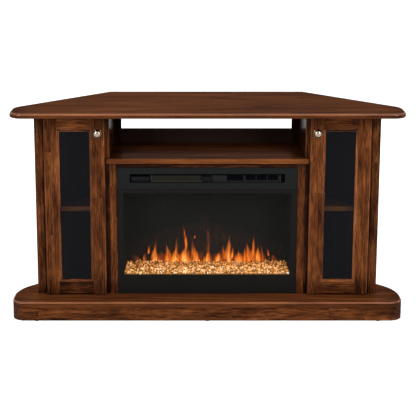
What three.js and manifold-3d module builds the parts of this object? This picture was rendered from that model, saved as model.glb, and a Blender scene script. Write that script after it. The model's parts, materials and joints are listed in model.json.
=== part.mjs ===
// Corner media console with an electric fireplace insert.
// Millimetres, +X to the right, +Y to the back, +Z up. The origin is on the floor, under the
// middle of the piece. Depths below are measured from the front plane of the plinth.

import * as THREE from 'three';
import { mergeVertices } from 'three/addons/utils/BufferGeometryUtils.js';
import Module from 'manifold-3d';

const wasm = await Module();
wasm.setup();

// ---------------------------------------------------------------------------------------------
// Driving dimensions
// ---------------------------------------------------------------------------------------------

// Whole cabinet
const CABINET_HEIGHT = 740;
const CABINET_DEPTH = 455;
const SEAT_GAP = 0.3; // glue line or seating gap between two pieces
const BOARD_EASE = 1.2; // small rounding on sawn board edges
const OVERCUT = 1; // how far a cutting shape runs past the surface that it cuts
const ROUND_MARGIN = 2; // a corner's radius is at least this much over its edge rounding
const SMALLEST_FILLET = 0.01; // a corner with less stays sharp

// Facets: a full rounding from this size up gets more steps than a small ease
const ROUND_FROM = 2;
const ROUND_STEPS = 4;
const EASE_STEPS = 2;
const ARC_STEP = Math.PI / 24;
const SMALL_ARC_STEP = Math.PI / 8;

// Top board
const TOP_WIDTH = 1360;
const TOP_BACK_WIDTH = 722;
const TOP_SETBACK = 10;
const TOP_THICKNESS = 18;
const TOP_FRONT_RADIUS = 45;
const TOP_SIDE_RADIUS = 70;
const TOP_BACK_RADIUS = 8;
const TOP_EDGE_ROUND = 6;

// Plinth
const PLINTH_WIDTH = 1372;
const PLINTH_BACK_WIDTH = 738;
const PLINTH_HEIGHT = 70;
const PLINTH_FRONT_RADIUS = 45;
const PLINTH_SIDE_RADIUS = 150;
const PLINTH_BACK_RADIUS = 8;
const DECK_THICKNESS = 20;
const DECK_EDGE_ROUND = 5;
const APRON_THICKNESS = 20;
const APRON_FRONT_REACH = 80;
const GLIDE_DIAMETER = 18;
const GLIDE_HEIGHT = 2.7;
const GLIDE_CHAMFER = 1;
const GLIDE_SPREAD = 600; // front glides from the middle

// Case
const FACE_SETBACK = 93;
const CASE_WIDTH = 1206;
const CASE_DEPTH = 264;
const PANEL_THICKNESS = 18;
const BACK_THICKNESS = 6;
const POST_WIDTH = 58;
const POST_THICKNESS = 20;
const POST_LIP = 20; // how far the corner post stands past the angled side
const BAY_WIDTH = 684;
const BACK_SLOT_HEIGHT = 103;
const CORD_GAP_HEIGHT = 40;

// Media shelf and the frame round the insert
const MEDIA_SHELF_THICKNESS = 20;
const SHELF_NOSE = 9; // how far the shelf stands proud of the face frame
const SHELF_NOSE_OVERLAP = 12; // how far its nose laps over each divider edge
const HEADER_HEIGHT = 14;
const FRAME_THICKNESS = 20;

// Cupboards
const CUPBOARD_SHELF_THICKNESS = 19;
const CUPBOARD_SHELF_HEIGHT = 298; // from the deck to the underside of the shelf
const CUPBOARD_SHELF_SETBACK = 25;
const CUPBOARD_SHELF_FIT = 0.6;

// Doors
const DOOR_THICKNESS = 18.4;
const DOOR_REVEAL = 34; // part of the corner post that stays visible
const DOOR_LAP = 3.5; // door over the divider's edge
const DOOR_TOP_GAP = 3.3;
const DOOR_BOTTOM_GAP = 5;
const DOOR_FRAME_WIDTH = 54;
const DOOR_BEAD_WIDTH = 9;
const DOOR_BEAD_DROP = 5.5;
const DOOR_BEAD_QUIRK = 1.2;
const DOOR_EDGE_ROUND = 5;
const GLASS_THICKNESS = 4;
const GLASS_GROOVE_DEPTH = 7;
const GLASS_GROOVE_SETBACK = 8.2;

// Door pivots
const PIVOT_OUTSET = 2.5; // axis outside the door's edge
const PIVOT_SETBACK = 11.7; // axis behind the door's front face
const PIVOT_RADIUS = 2.5;
const PIVOT_CLEARANCE = 0.1;
const PIVOT_PIN_DEPTH = 8;
const PIVOT_LEAF_HALF_WIDTH = 5;
const PIVOT_LEAF_LENGTH = 40;
const PIVOT_LEAF_THICKNESS = 2;
const PIVOT_LEAF_CORNER = 1;
const PIVOT_END_PLAY = 1; // space beyond the end of each pin

// Knobs
const KNOB_DIAMETER = 31;
const KNOB_LENGTH = 25;
const KNOB_STEM_DIAMETER = 10;
const KNOB_BASE_DIAMETER = 15;
const KNOB_BASE_THICKNESS = 2;
const KNOB_NECK_START = 5;
const KNOB_RIM_AT = 13; // widest point in front of the door
const KNOB_RIM_ROUND = 2;
const KNOB_FROM_EDGE = 24.5;
const KNOB_FROM_TOP = 57.5;

// Insert: face
const INSERT_WIDTH = 631;
const INSERT_HEIGHT = 462;
const INSERT_FIT = 0.5;
const INSERT_PROUD = 2;
const TRIM_DEPTH = 10;
const LOWER_TRIM_HEIGHT = 384.5;
const WINDOW_WIDTH = 590;
const WINDOW_HEIGHT = 300;
const WINDOW_SILL = 69;
const SLOT_WIDTH = 544;
const SLOT_HEIGHT = 31.5;
const SLOT_RISE = 23.5;
const TRIM_EASE = 1;

// Insert: body
const HOUSING_WIDTH = 602;
const HOUSING_HEIGHT = 458;
const HOUSING_DEPTH = 205;
const SHEET = 2;
const PANE_THICKNESS = 4;
const PANE_LAP = 3;
const LINER_TAPER = 9; // each side wall leans in this much towards the screen
const LINER_CEILING_RISE = 5; // ceiling above the top of the window
const SCREEN_SETBACK = 101; // screen behind the pane
const SCREEN_THICKNESS = 3;
const TRAY_HEIGHT = 62;
const EMBER_FRONT_HEIGHT = 7;
const EMBER_BACK_HEIGHT = 24;
const EMBER_LEVEL_DEPTH = 20; // level strip at the back of the bed

// Insert: flame drive
const ROTOR_SETBACK = 33; // axis behind the screen
const ROTOR_HEIGHT = 78; // axis above the housing floor
const ROTOR_SHAFT_DIAMETER = 6;
const ROTOR_FIN_REACH = 22;
const ROTOR_FIN_THICKNESS = 1;
const ROTOR_FIN_GROUPS = 11;
const ROTOR_FINS_PER_GROUP = 3;
const ROTOR_FIN_FILL = 0.72; // share of each group's pitch that its fins take
const ROTOR_FIN_TWIST = 0.7; // each group is turned on by this many radians
const ROTOR_END_SPACE = 8; // between the fins and the bearings
const ROTOR_END_PLAY = 1;
const MOTOR_WIDTH = 28;
const MOTOR_SIZE = 50;
const BEARING_LENGTH = 12;
const BEARING_DIAMETER = 16;
const RUNNING_CLEARANCE = 0.1;
const LED_BOARD_WIDTH = 26;
const LED_BOARD_THICKNESS = 6;
const LED_SIZE = 8;
const LED_HEIGHT = 3;
const LED_ROOT = 1; // part of each lamp that sits in the strip
const LED_COUNT = 11;

// Insert: fan heater
const DUCT_WIDTH = 260;
const DUCT_DEPTH = 92;
const DUCT_HEIGHT = 76;
const DUCT_CENTRE = -72;
const DUCT_SETBACK = 14;
const DUCT_SHEET = 1.5;
const WHEEL_DIAMETER = 52;
const WHEEL_BLADES = 16;
const WHEEL_BLADE_DEPTH = 9;
const WHEEL_BLADE_THICKNESS = 1.2;
const WHEEL_BLADE_PITCH = 0.6; // blade angle in radians
const WHEEL_BLADE_INSET = 1;
const WHEEL_DISC_THICKNESS = 3;
const WHEEL_SHAFT_DIAMETER = 6;
const WHEEL_SHAFT_OVERHANG = 4;
const WHEEL_END_PLAY = 1.5;
const WHEEL_FROM_BACK = 8; // between the wheel and the duct's back edge
const HEATER_SETBACK = 2;
const HEATER_DEPTH = 18;
const HEATER_HEIGHT = 32;
const HEATER_FINS = 24;
const HEATER_FIN_WIDTH = 5.3; // the rest of each fin's pitch is an air gap
const HEATER_FIN_DEPTH = 5;

// Insert: outlet grille and controls
const GRILLE_THICKNESS = 2;
const GRILLE_LAP = 4; // how far grille and panel reach past the slot above and below
const GRILLE_SPLIT = 17; // where the grille ends and the control panel starts
const MESH_LEFT = -195;
const MESH_WIDTH = 172;
const MESH_BARS = 28;
const MESH_BAR_WIDTH = 2.4;
const MESH_HEIGHT = 20;
const SIDE_VENT_WIDTH = 66;
const SIDE_VENT_SPACE = 8;
const SIDE_VENT_RADIUS = 8;
const CONTROL_THICKNESS = 3;
const WINDOW_STRIP_HEIGHT = 17;
const DISPLAY_LEFT = 68;
const DISPLAY_WIDTH = 59;
const DISPLAY_RECESS = 1.5;
const BUTTONS_LEFT = 134;
const BUTTON_NAMES = ['power_button', 'flame_button', 'heat_button'];
const BUTTON_WIDTH = 36;
const BUTTON_PITCH = 39;
const BUTTON_DEPTH = 6;
const BUTTON_INSET = 0.8;
const BUTTON_FIT = 0.3;
const BUTTON_EASE = 0.6;

// Insert: cord inlet on the back
const INLET_DIAMETER = 24;
const INLET_BORE = 9;
const INLET_LENGTH = 14;
const INLET_FLANGE = 4; // flange thickness, and how far it stands past the neck
const INLET_TAPER = 1;
const INLET_FROM_CENTRE = 250;
const INLET_HEIGHT = 45;

// ---------------------------------------------------------------------------------------------
// Places that follow from the dimensions
// ---------------------------------------------------------------------------------------------

const deckTop = PLINTH_HEIGHT;
const topUnderside = CABINET_HEIGHT - TOP_THICKNESS;
const caseBottom = deckTop + SEAT_GAP;
const caseTop = topUnderside - SEAT_GAP;

const face = FACE_SETBACK;
const backInner = face + CASE_DEPTH - BACK_THICKNESS;
const backOuter = face + CASE_DEPTH;
const caseHalf = CASE_WIDTH / 2;
const bayHalf = BAY_WIDTH / 2;
const dividerOuter = bayHalf + PANEL_THICKNESS;

// Each angled side is a 45 degree plane, x + y = constant on the right-hand side.
const sideOuter = caseHalf - POST_LIP + face + POST_THICKNESS;
const sideInner = sideOuter - PANEL_THICKNESS * Math.SQRT2;
const sideSeat = sideInner - SEAT_GAP * Math.SQRT2;

const insertBottom = caseBottom;
const insertTop = insertBottom + INSERT_HEIGHT;
const insertHalf = INSERT_WIDTH / 2;
const insertFace = face - INSERT_PROUD;
const trimBack = insertFace + TRIM_DEPTH;
const insertInside = trimBack + SEAT_GAP;
const seam = insertBottom + LOWER_TRIM_HEIGHT;
const windowBottom = insertBottom + WINDOW_SILL;
const windowTop = windowBottom + WINDOW_HEIGHT;
const windowHalf = WINDOW_WIDTH / 2;
const slotBottom = seam + SLOT_RISE;
const slotTop = slotBottom + SLOT_HEIGHT;
const slotHalf = SLOT_WIDTH / 2;

const headerBottom = insertTop + INSERT_FIT;
const headerTop = headerBottom + HEADER_HEIGHT;
const shelfBottom = headerTop + SEAT_GAP;
const shelfTop = shelfBottom + MEDIA_SHELF_THICKNESS;

const doorFront = face - SEAT_GAP - DOOR_THICKNESS;
const doorBack = face - SEAT_GAP;
const doorOuter = caseHalf - DOOR_REVEAL;
const doorInner = dividerOuter - DOOR_LAP;
const doorBottom = deckTop + DOOR_BOTTOM_GAP;
const doorTop = topUnderside - DOOR_TOP_GAP;
const pivotX = doorOuter + PIVOT_OUTSET;
const pivotY = doorFront + PIVOT_SETBACK;
const pivotReach = PIVOT_LEAF_THICKNESS + PIVOT_PIN_DEPTH + PIVOT_END_PLAY;

const housingHalf = HOUSING_WIDTH / 2;
const housingBottom = insertBottom;
const housingFloor = housingBottom + SHEET;
const housingTop = housingBottom + HOUSING_HEIGHT;
const housingBack = insertInside + HOUSING_DEPTH;
const paneBack = insertInside + PANE_THICKNESS;
const linerFront = paneBack + SEAT_GAP;
const screenFront = paneBack + SCREEN_SETBACK;
const screenBack = screenFront + SCREEN_THICKNESS;
const linerBack = screenBack + SEAT_GAP;
const linerHalfFront = housingHalf - SHEET - SEAT_GAP;
const linerCeiling = windowTop + LINER_CEILING_RISE;
const linerFloor = housingFloor + SEAT_GAP;
const trayTop = linerFloor + TRAY_HEIGHT;
const rotorY = screenBack + ROTOR_SETBACK;
const rotorZ = housingFloor + ROTOR_HEIGHT;

// Half width inside the liner's leaning walls at a given depth.
function linerInside(depth) {
  const lean = LINER_TAPER * (depth - linerFront) / (linerBack - linerFront);
  return linerHalfFront - SHEET - lean;
}

// ---------------------------------------------------------------------------------------------
// Materials
// ---------------------------------------------------------------------------------------------

function surface(color, roughness, metalness = 0, opacity = 1) {
  return new THREE.MeshStandardMaterial({ color, roughness, metalness, opacity, transparent: opacity < 1 });
}

const stainedWood = () => surface(0x5c3219, 0.42);
const darkWood = () => surface(0x3d2114, 0.5);
const hardboard = () => surface(0x2b1a12, 0.7);
const blackSteel = () => surface(0x1f2121, 0.55, 0.3);
const matteBlack = () => surface(0x151515, 0.8);
const smokedGlass = () => surface(0x1a1a1c, 0.08, 0, 0.75);
const clearGlass = () => surface(0x9fa6a6, 0.05, 0, 0.25);
const agedBronze = () => surface(0x6b5638, 0.35, 0.9);
const zincSteel = () => surface(0x8a8c8c, 0.4, 0.8);
const brightFoil = () => surface(0xb9b9b4, 0.25, 0.9);
const amberGlass = () => surface(0xd9a763, 0.2);
const smokeScreen = () => surface(0x141413, 0.3, 0, 0.85);
const blackPlastic = () => surface(0x121314, 0.4);
const greenBoard = () => surface(0x1f4a2e, 0.5);
const nylon = () => surface(0x2a2522, 0.6);

// ---------------------------------------------------------------------------------------------
// Shape helpers
// ---------------------------------------------------------------------------------------------

function toSolid(geometry) {
  const bare = geometry.clone();
  bare.deleteAttribute('normal');
  bare.deleteAttribute('uv');
  const merged = mergeVertices(bare);
  return new wasm.Manifold(new wasm.Mesh({
    numProp: 3,
    vertProperties: merged.attributes.position.array,
    triVerts: new Uint32Array(merged.index.array),
  }));
}

function toGeometry(solid) {
  const mesh = solid.getMesh();
  const indexed = new THREE.BufferGeometry();
  indexed.setAttribute('position', new THREE.BufferAttribute(mesh.vertProperties, mesh.numProp));
  indexed.setIndex(new THREE.BufferAttribute(mesh.triVerts, 1));
  const geometry = indexed.toNonIndexed();
  geometry.computeVertexNormals();
  return geometry;
}

function join(first, ...others) {
  return toGeometry(others.reduce((solid, other) => solid.add(toSolid(other)), toSolid(first)));
}

function cut(first, ...others) {
  return toGeometry(others.reduce((solid, other) => solid.subtract(toSolid(other)), toSolid(first)));
}

function common(first, second) {
  return toGeometry(toSolid(first).intersect(toSolid(second)));
}

function path(points) {
  return points.map(([a, b]) => new THREE.Vector2(a, b));
}

function extrude(points, depth, ease = 0, holes = []) {
  const shape = new THREE.Shape(path(points));
  holes.forEach((hole) => shape.holes.push(new THREE.Path(path(hole))));
  const geometry = new THREE.ExtrudeGeometry(shape, {
    depth: depth - 2 * ease,
    bevelEnabled: ease > 0,
    bevelSize: ease,
    bevelThickness: ease,
    bevelOffset: -ease,
    bevelSegments: ease > ROUND_FROM ? ROUND_STEPS : EASE_STEPS,
  });
  return geometry.translate(0, 0, ease);
}

// A board lying flat: the outline is in plan (x, y) and it fills the space from bottom to top.
function board(outline, bottom, top, ease = 0, holes = []) {
  return extrude(outline, top - bottom, ease, holes).translate(0, 0, bottom);
}

// A plate standing up: the outline is an elevation (x, z) and it fills the space from front to back.
function plate(outline, front, back, ease = 0, holes = []) {
  const turn = new THREE.Matrix4().makeBasis(
    new THREE.Vector3(1, 0, 0),
    new THREE.Vector3(0, 0, 1),
    new THREE.Vector3(0, -1, 0),
  );
  return extrude(outline, back - front, ease, holes).applyMatrix4(turn).translate(0, back, 0);
}

// A moulding that runs across: the outline is a section (y, z) and it runs from left to right.
function moulding(section, left, right) {
  const turn = new THREE.Matrix4().makeBasis(
    new THREE.Vector3(0, 1, 0),
    new THREE.Vector3(0, 0, 1),
    new THREE.Vector3(1, 0, 0),
  );
  return extrude(section, right - left).applyMatrix4(turn).translate(left, 0, 0);
}

function block([left, right], [front, back], [bottom, top]) {
  const geometry = new THREE.BoxGeometry(right - left, back - front, top - bottom);
  return geometry.translate((left + right) / 2, (front + back) / 2, (bottom + top) / 2);
}

function rectangle(left, right, low, high) {
  return [[left, low], [right, low], [right, high], [left, high]];
}

// Mirrors an outline drawn for the right-hand side when side is -1.
function onSide(side, points) {
  return points.map(([x, y]) => [side * x, y]);
}

// An outline from corners [x, y, radius]. Each corner is rounded as far as its two sides allow.
function rounded(corners, step = ARC_STEP) {
  const points = [];
  corners.forEach(([x, y, radius], index) => {
    const corner = new THREE.Vector2(x, y);
    const before = corners[(index + corners.length - 1) % corners.length];
    const after = corners[(index + 1) % corners.length];
    const toBefore = new THREE.Vector2(before[0], before[1]).sub(corner);
    const toAfter = new THREE.Vector2(after[0], after[1]).sub(corner);
    const room = 0.48 * Math.min(toBefore.length(), toAfter.length());
    toBefore.normalize();
    toAfter.normalize();
    const half = Math.acos(THREE.MathUtils.clamp(toBefore.dot(toAfter), -1, 1)) / 2;
    const fillet = Math.min(radius, room * Math.tan(half));
    if (fillet < SMALLEST_FILLET) {
      points.push([x, y]);
      return;
    }
    const middle = toBefore.clone().add(toAfter).normalize();
    const centre = corner.clone().addScaledVector(middle, fillet / Math.sin(half));
    const start = corner.clone().addScaledVector(toBefore, fillet / Math.tan(half)).sub(centre);
    const end = corner.clone().addScaledVector(toAfter, fillet / Math.tan(half)).sub(centre);
    const sweep = Math.atan2(start.cross(end), start.dot(end));
    const count = Math.max(2, Math.ceil(Math.abs(sweep) / step));
    for (let i = 0; i <= count; i += 1) {
      const angle = start.angle() + sweep * i / count;
      points.push([centre.x + fillet * Math.cos(angle), centre.y + fillet * Math.sin(angle)]);
    }
  });
  return points;
}

// The plan of a corner unit: square front corners, short returns, 45 degree sides, narrow back.
function cornerPlan({ width, backWidth, front, back, frontRadius, sideRadius, backRadius }) {
  const half = width / 2;
  const backHalf = backWidth / 2;
  const turn = back - (half - backHalf);
  return rounded([
    [half, front, frontRadius],
    [half, turn, sideRadius],
    [backHalf, back, backRadius],
    [-backHalf, back, backRadius],
    [-half, turn, sideRadius],
    [-half, front, frontRadius],
  ]);
}

// A round bar or hole along one axis, 'x', 'y' or 'z', from one place to another on it.
function rod(axis, centre, radius, from, to, segments = 24) {
  const geometry = new THREE.CylinderGeometry(radius, radius, to - from, segments);
  const middle = (from + to) / 2;
  if (axis === 'x') {
    return geometry.rotateZ(-Math.PI / 2).translate(middle, centre[0], centre[1]);
  }
  if (axis === 'y') {
    return geometry.translate(centre[0], middle, centre[1]);
  }
  return geometry.rotateX(Math.PI / 2).translate(centre[0], centre[1], middle);
}

const fireplace = new THREE.Group();
const assembly = new THREE.Group();
assembly.position.y = -CABINET_DEPTH / 2;
fireplace.add(assembly);

function piece(name, geometry, material) {
  const mesh = new THREE.Mesh(geometry, material);
  mesh.name = name;
  assembly.add(mesh);
}

const sides = [['left', -1], ['right', 1]];

// ---------------------------------------------------------------------------------------------
// Top board
// ---------------------------------------------------------------------------------------------

function pivotHole(side, bottom, top) {
  return rod('z', [side * pivotX, pivotY], PIVOT_RADIUS + PIVOT_CLEARANCE, bottom, top);
}

function topBoard() {
  const plan = cornerPlan({
    width: TOP_WIDTH,
    backWidth: TOP_BACK_WIDTH,
    front: TOP_SETBACK,
    back: CABINET_DEPTH,
    frontRadius: TOP_FRONT_RADIUS,
    sideRadius: TOP_SIDE_RADIUS,
    backRadius: Math.max(TOP_BACK_RADIUS, TOP_EDGE_ROUND + ROUND_MARGIN),
  });
  const holeTop = doorTop + SEAT_GAP + pivotReach;
  const holes = sides.map(([, side]) => pivotHole(side, topUnderside - OVERCUT, holeTop));
  return cut(board(plan, topUnderside, CABINET_HEIGHT, TOP_EDGE_ROUND), ...holes);
}

piece('top_board', topBoard(), stainedWood());

// ---------------------------------------------------------------------------------------------
// Plinth
// ---------------------------------------------------------------------------------------------

const plinthSpan = [-PLINTH_WIDTH, PLINTH_WIDTH];

// The plinth's outline, or the same outline moved in by a board's thickness.
function plinthPlan(inset) {
  return cornerPlan({
    width: PLINTH_WIDTH - 2 * inset,
    backWidth: PLINTH_BACK_WIDTH + 2 * inset - 2 * inset * Math.SQRT2,
    front: inset,
    back: CABINET_DEPTH - inset,
    frontRadius: PLINTH_FRONT_RADIUS - inset,
    sideRadius: PLINTH_SIDE_RADIUS - inset,
    backRadius: Math.max(0, Math.max(PLINTH_BACK_RADIUS, DECK_EDGE_ROUND + ROUND_MARGIN) - inset),
  });
}

// The deck is rounded along its upper edge only, so that it runs flush into the apron.
function plinthDeck() {
  const holeBottom = doorBottom - SEAT_GAP - pivotReach;
  const holes = sides.map(([, side]) => pivotHole(side, holeBottom, deckTop + OVERCUT));
  const bottom = deckTop - DECK_THICKNESS;
  const below = bottom - 2 * DECK_EDGE_ROUND;
  const thick = board(plinthPlan(0), below, deckTop, DECK_EDGE_ROUND);
  const waste = block(plinthSpan, [-OVERCUT, CABINET_DEPTH + OVERCUT], [below - OVERCUT, bottom]);
  return cut(thick, waste, ...holes);
}

piece('plinth_deck', plinthDeck(), stainedWood());

// The apron is one ring in plan, sawn into a curved front, two angled sides and a back rail.
const apronBottom = GLIDE_HEIGHT + SEAT_GAP;
const apronTop = deckTop - DECK_THICKNESS - SEAT_GAP;
const apronRing = board(plinthPlan(0), apronBottom, apronTop, 0, [plinthPlan(APRON_THICKNESS)]);
const apronRange = [apronBottom - OVERCUT, apronTop + OVERCUT];
const apronBackHalf = PLINTH_BACK_WIDTH / 2 - APRON_THICKNESS * Math.SQRT2;
const apronFrontRange = [-OVERCUT, APRON_FRONT_REACH];
const apronFront = common(apronRing, block(plinthSpan, apronFrontRange, apronRange));
piece('plinth_front', apronFront, stainedWood());

function apronSide(side) {
  const near = side * (apronBackHalf + SEAT_GAP);
  const far = side * PLINTH_WIDTH;
  const across = side > 0 ? [near, far] : [far, near];
  const along = [APRON_FRONT_REACH + SEAT_GAP, CABINET_DEPTH + OVERCUT];
  return common(apronRing, block(across, along, apronRange));
}

sides.forEach(([word, side]) => piece(`plinth_side_${word}`, apronSide(side), stainedWood()));

const apronBackRange = [CABINET_DEPTH - 2 * APRON_THICKNESS, CABINET_DEPTH + OVERCUT];
const apronBack = common(apronRing, block([-apronBackHalf, apronBackHalf], apronBackRange, apronRange));
piece('plinth_back', apronBack, darkWood());

function glide(x, y) {
  const radius = GLIDE_DIAMETER / 2;
  const profile = path([
    [0, 0],
    [radius - GLIDE_CHAMFER, 0],
    [radius, GLIDE_CHAMFER],
    [radius, GLIDE_HEIGHT],
    [0, GLIDE_HEIGHT],
  ]);
  return new THREE.LatheGeometry(profile, 24).rotateX(Math.PI / 2).translate(x, y, 0);
}

const glideBackHalf = apronBackHalf - GLIDE_DIAMETER;
const glidePlaces = {
  glide_front_left: [-GLIDE_SPREAD, APRON_THICKNESS / 2],
  glide_front_middle: [0, APRON_THICKNESS / 2],
  glide_front_right: [GLIDE_SPREAD, APRON_THICKNESS / 2],
  glide_back_left: [-glideBackHalf, CABINET_DEPTH - APRON_THICKNESS / 2],
  glide_back_right: [glideBackHalf, CABINET_DEPTH - APRON_THICKNESS / 2],
};
Object.entries(glidePlaces).forEach(([name, [x, y]]) => piece(name, glide(x, y), nylon()));

// ---------------------------------------------------------------------------------------------
// Case: corner posts, angled sides, dividers and back
// ---------------------------------------------------------------------------------------------

function cornerPost(side) {
  const plan = rectangle(caseHalf - POST_WIDTH, caseHalf, face, face + POST_THICKNESS);
  return board(onSide(side, plan), caseBottom, caseTop, BOARD_EASE);
}

function sidePanel(side) {
  const front = face + POST_THICKNESS + SEAT_GAP;
  const plan = [
    [sideOuter - front, front],
    [sideOuter - backOuter, backOuter],
    [sideInner - backOuter, backOuter],
    [sideInner - front, front],
  ];
  return board(onSide(side, plan), caseBottom, caseTop);
}

function divider(side) {
  const plan = [
    [bayHalf, face],
    [dividerOuter, face],
    [dividerOuter, sideSeat - dividerOuter],
    [bayHalf, sideSeat - bayHalf],
  ];
  return board(onSide(side, plan), caseBottom, caseTop, BOARD_EASE);
}

sides.forEach(([word, side]) => {
  piece(`corner_post_${word}`, cornerPost(side), stainedWood());
  piece(`side_panel_${word}`, sidePanel(side), stainedWood());
  piece(`divider_${word}`, divider(side), stainedWood());
});

// The back leaves a slot under the top for leads and air, and a gap over the deck for the cord.
const backPlan = [
  [sideSeat - backInner, backInner],
  [sideSeat - backOuter, backOuter],
  [backOuter - sideSeat, backOuter],
  [backInner - sideSeat, backInner],
];
const backBottom = deckTop + CORD_GAP_HEIGHT;
const backTop = topUnderside - BACK_SLOT_HEIGHT;
piece('back_panel', board(backPlan, backBottom, backTop), hardboard());

// ---------------------------------------------------------------------------------------------
// Media shelf and the face frame round the insert
// ---------------------------------------------------------------------------------------------

function mediaShelf() {
  const half = bayHalf - SEAT_GAP;
  const back = backInner - SEAT_GAP;
  const noseHalf = bayHalf + SHELF_NOSE_OVERLAP;
  const noseBack = face - SEAT_GAP;
  const right = [
    [noseHalf, face - SHELF_NOSE],
    [noseHalf, noseBack],
    [half, noseBack],
    [half, sideSeat - half],
    [sideSeat - back, back],
  ];
  const left = onSide(-1, right).reverse();
  return board([...right, ...left], shelfBottom, shelfTop, BOARD_EASE);
}

piece('media_shelf', mediaShelf(), stainedWood());

const headerHalf = insertHalf + INSERT_FIT;
const frameBack = face + FRAME_THICKNESS;
const headerOutline = rectangle(-headerHalf, headerHalf, headerBottom, headerTop);
piece('insert_header_rail', plate(headerOutline, face, frameBack, BOARD_EASE), stainedWood());

function jamb(side) {
  const outline = rectangle(headerHalf + SEAT_GAP, bayHalf - SEAT_GAP, caseBottom, headerTop);
  return plate(onSide(side, outline), face, frameBack, BOARD_EASE);
}

sides.forEach(([word, side]) => piece(`insert_jamb_${word}`, jamb(side), stainedWood()));

// ---------------------------------------------------------------------------------------------
// Cupboard shelves: triangles between the divider and the angled side
// ---------------------------------------------------------------------------------------------

function cupboardShelf(side) {
  const front = face + CUPBOARD_SHELF_SETBACK;
  const inner = dividerOuter + CUPBOARD_SHELF_FIT;
  const limit = sideInner - CUPBOARD_SHELF_FIT * Math.SQRT2;
  const plan = [[inner, front], [limit - front, front], [inner, limit - inner]];
  const bottom = deckTop + CUPBOARD_SHELF_HEIGHT;
  return board(onSide(side, plan), bottom, bottom + CUPBOARD_SHELF_THICKNESS, BOARD_EASE);
}

sides.forEach(([word, side]) => piece(`cupboard_shelf_${word}`, cupboardShelf(side), stainedWood()));

// ---------------------------------------------------------------------------------------------
// Doors: two stiles and two rails with a moulded inner bead, a glass pane, a knob, two pivots
// ---------------------------------------------------------------------------------------------

// Section of a door member as [across, depth]: across runs from the outer edge to the glass.
function doorSection() {
  const round = DOOR_EDGE_ROUND;
  const flatEnd = DOOR_FRAME_WIDTH - DOOR_BEAD_WIDTH;
  const grooveBack = GLASS_GROOVE_SETBACK + GLASS_THICKNESS + 2 * SEAT_GAP;
  const points = [];
  const edgeSteps = 5;
  for (let i = 0; i <= edgeSteps; i += 1) {
    const angle = Math.PI / 2 * i / edgeSteps;
    points.push([round - round * Math.cos(angle), round - round * Math.sin(angle)]);
  }
  points.push([flatEnd, 0]);
  const beadSteps = 6;
  for (let i = 0; i <= beadSteps; i += 1) {
    const share = i / beadSteps;
    const fall = (1 - Math.cos(Math.PI * share)) / 2;
    const depth = DOOR_BEAD_QUIRK + (DOOR_BEAD_DROP - DOOR_BEAD_QUIRK) * fall;
    points.push([flatEnd + DOOR_BEAD_WIDTH * share, depth]);
  }
  points.push(
    [DOOR_FRAME_WIDTH, GLASS_GROOVE_SETBACK],
    [DOOR_FRAME_WIDTH - GLASS_GROOVE_DEPTH, GLASS_GROOVE_SETBACK],
    [DOOR_FRAME_WIDTH - GLASS_GROOVE_DEPTH, grooveBack],
    [DOOR_FRAME_WIDTH, grooveBack],
    [DOOR_FRAME_WIDTH, DOOR_THICKNESS],
    [0, DOOR_THICKNESS],
  );
  return points;
}

const sightEdge = DOOR_FRAME_WIDTH;
const shoulder = DOOR_FRAME_WIDTH - DOOR_BEAD_WIDTH;

// A stile runs the full height. Its bead is mitred where the rails' beads meet it.
function doorStile(side, edge, inward) {
  const plan = doorSection().map(([across, depth]) => [side * (edge + inward * across), doorFront + depth]);
  const keep = [
    [edge, doorBottom],
    [edge + inward * shoulder, doorBottom],
    [edge + inward * shoulder, doorBottom + shoulder],
    [edge + inward * sightEdge, doorBottom + sightEdge],
    [edge + inward * sightEdge, doorTop - sightEdge],
    [edge + inward * shoulder, doorTop - shoulder],
    [edge + inward * shoulder, doorTop],
    [edge, doorTop],
  ];
  const stock = board(plan, doorBottom, doorTop);
  return common(stock, plate(onSide(side, keep), doorFront - OVERCUT, doorBack + OVERCUT));
}

// A rail fits between the stiles' shoulders.
function doorRail(side, edge, inward) {
  const section = doorSection().map(([across, depth]) => [doorFront + depth, edge + inward * across]);
  const near = doorInner + shoulder + SEAT_GAP;
  const far = doorOuter - shoulder - SEAT_GAP;
  const nearSight = doorInner + sightEdge + SEAT_GAP;
  const farSight = doorOuter - sightEdge - SEAT_GAP;
  const keep = [
    [near, edge],
    [far, edge],
    [far, edge + inward * shoulder],
    [farSight, edge + inward * sightEdge],
    [nearSight, edge + inward * sightEdge],
    [near, edge + inward * shoulder],
  ];
  const [left, right] = side > 0 ? [doorInner, doorOuter] : [-doorOuter, -doorInner];
  const stock = moulding(section, left, right);
  return common(stock, plate(onSide(side, keep), doorFront - OVERCUT, doorBack + OVERCUT));
}

function doorGlass(side) {
  const inset = DOOR_FRAME_WIDTH - GLASS_GROOVE_DEPTH + SEAT_GAP;
  const front = doorFront + GLASS_GROOVE_SETBACK + SEAT_GAP;
  const outline = rectangle(doorInner + inset, doorOuter - inset, doorBottom + inset, doorTop - inset);
  return plate(onSide(side, outline), front, front + GLASS_THICKNESS);
}

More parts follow.
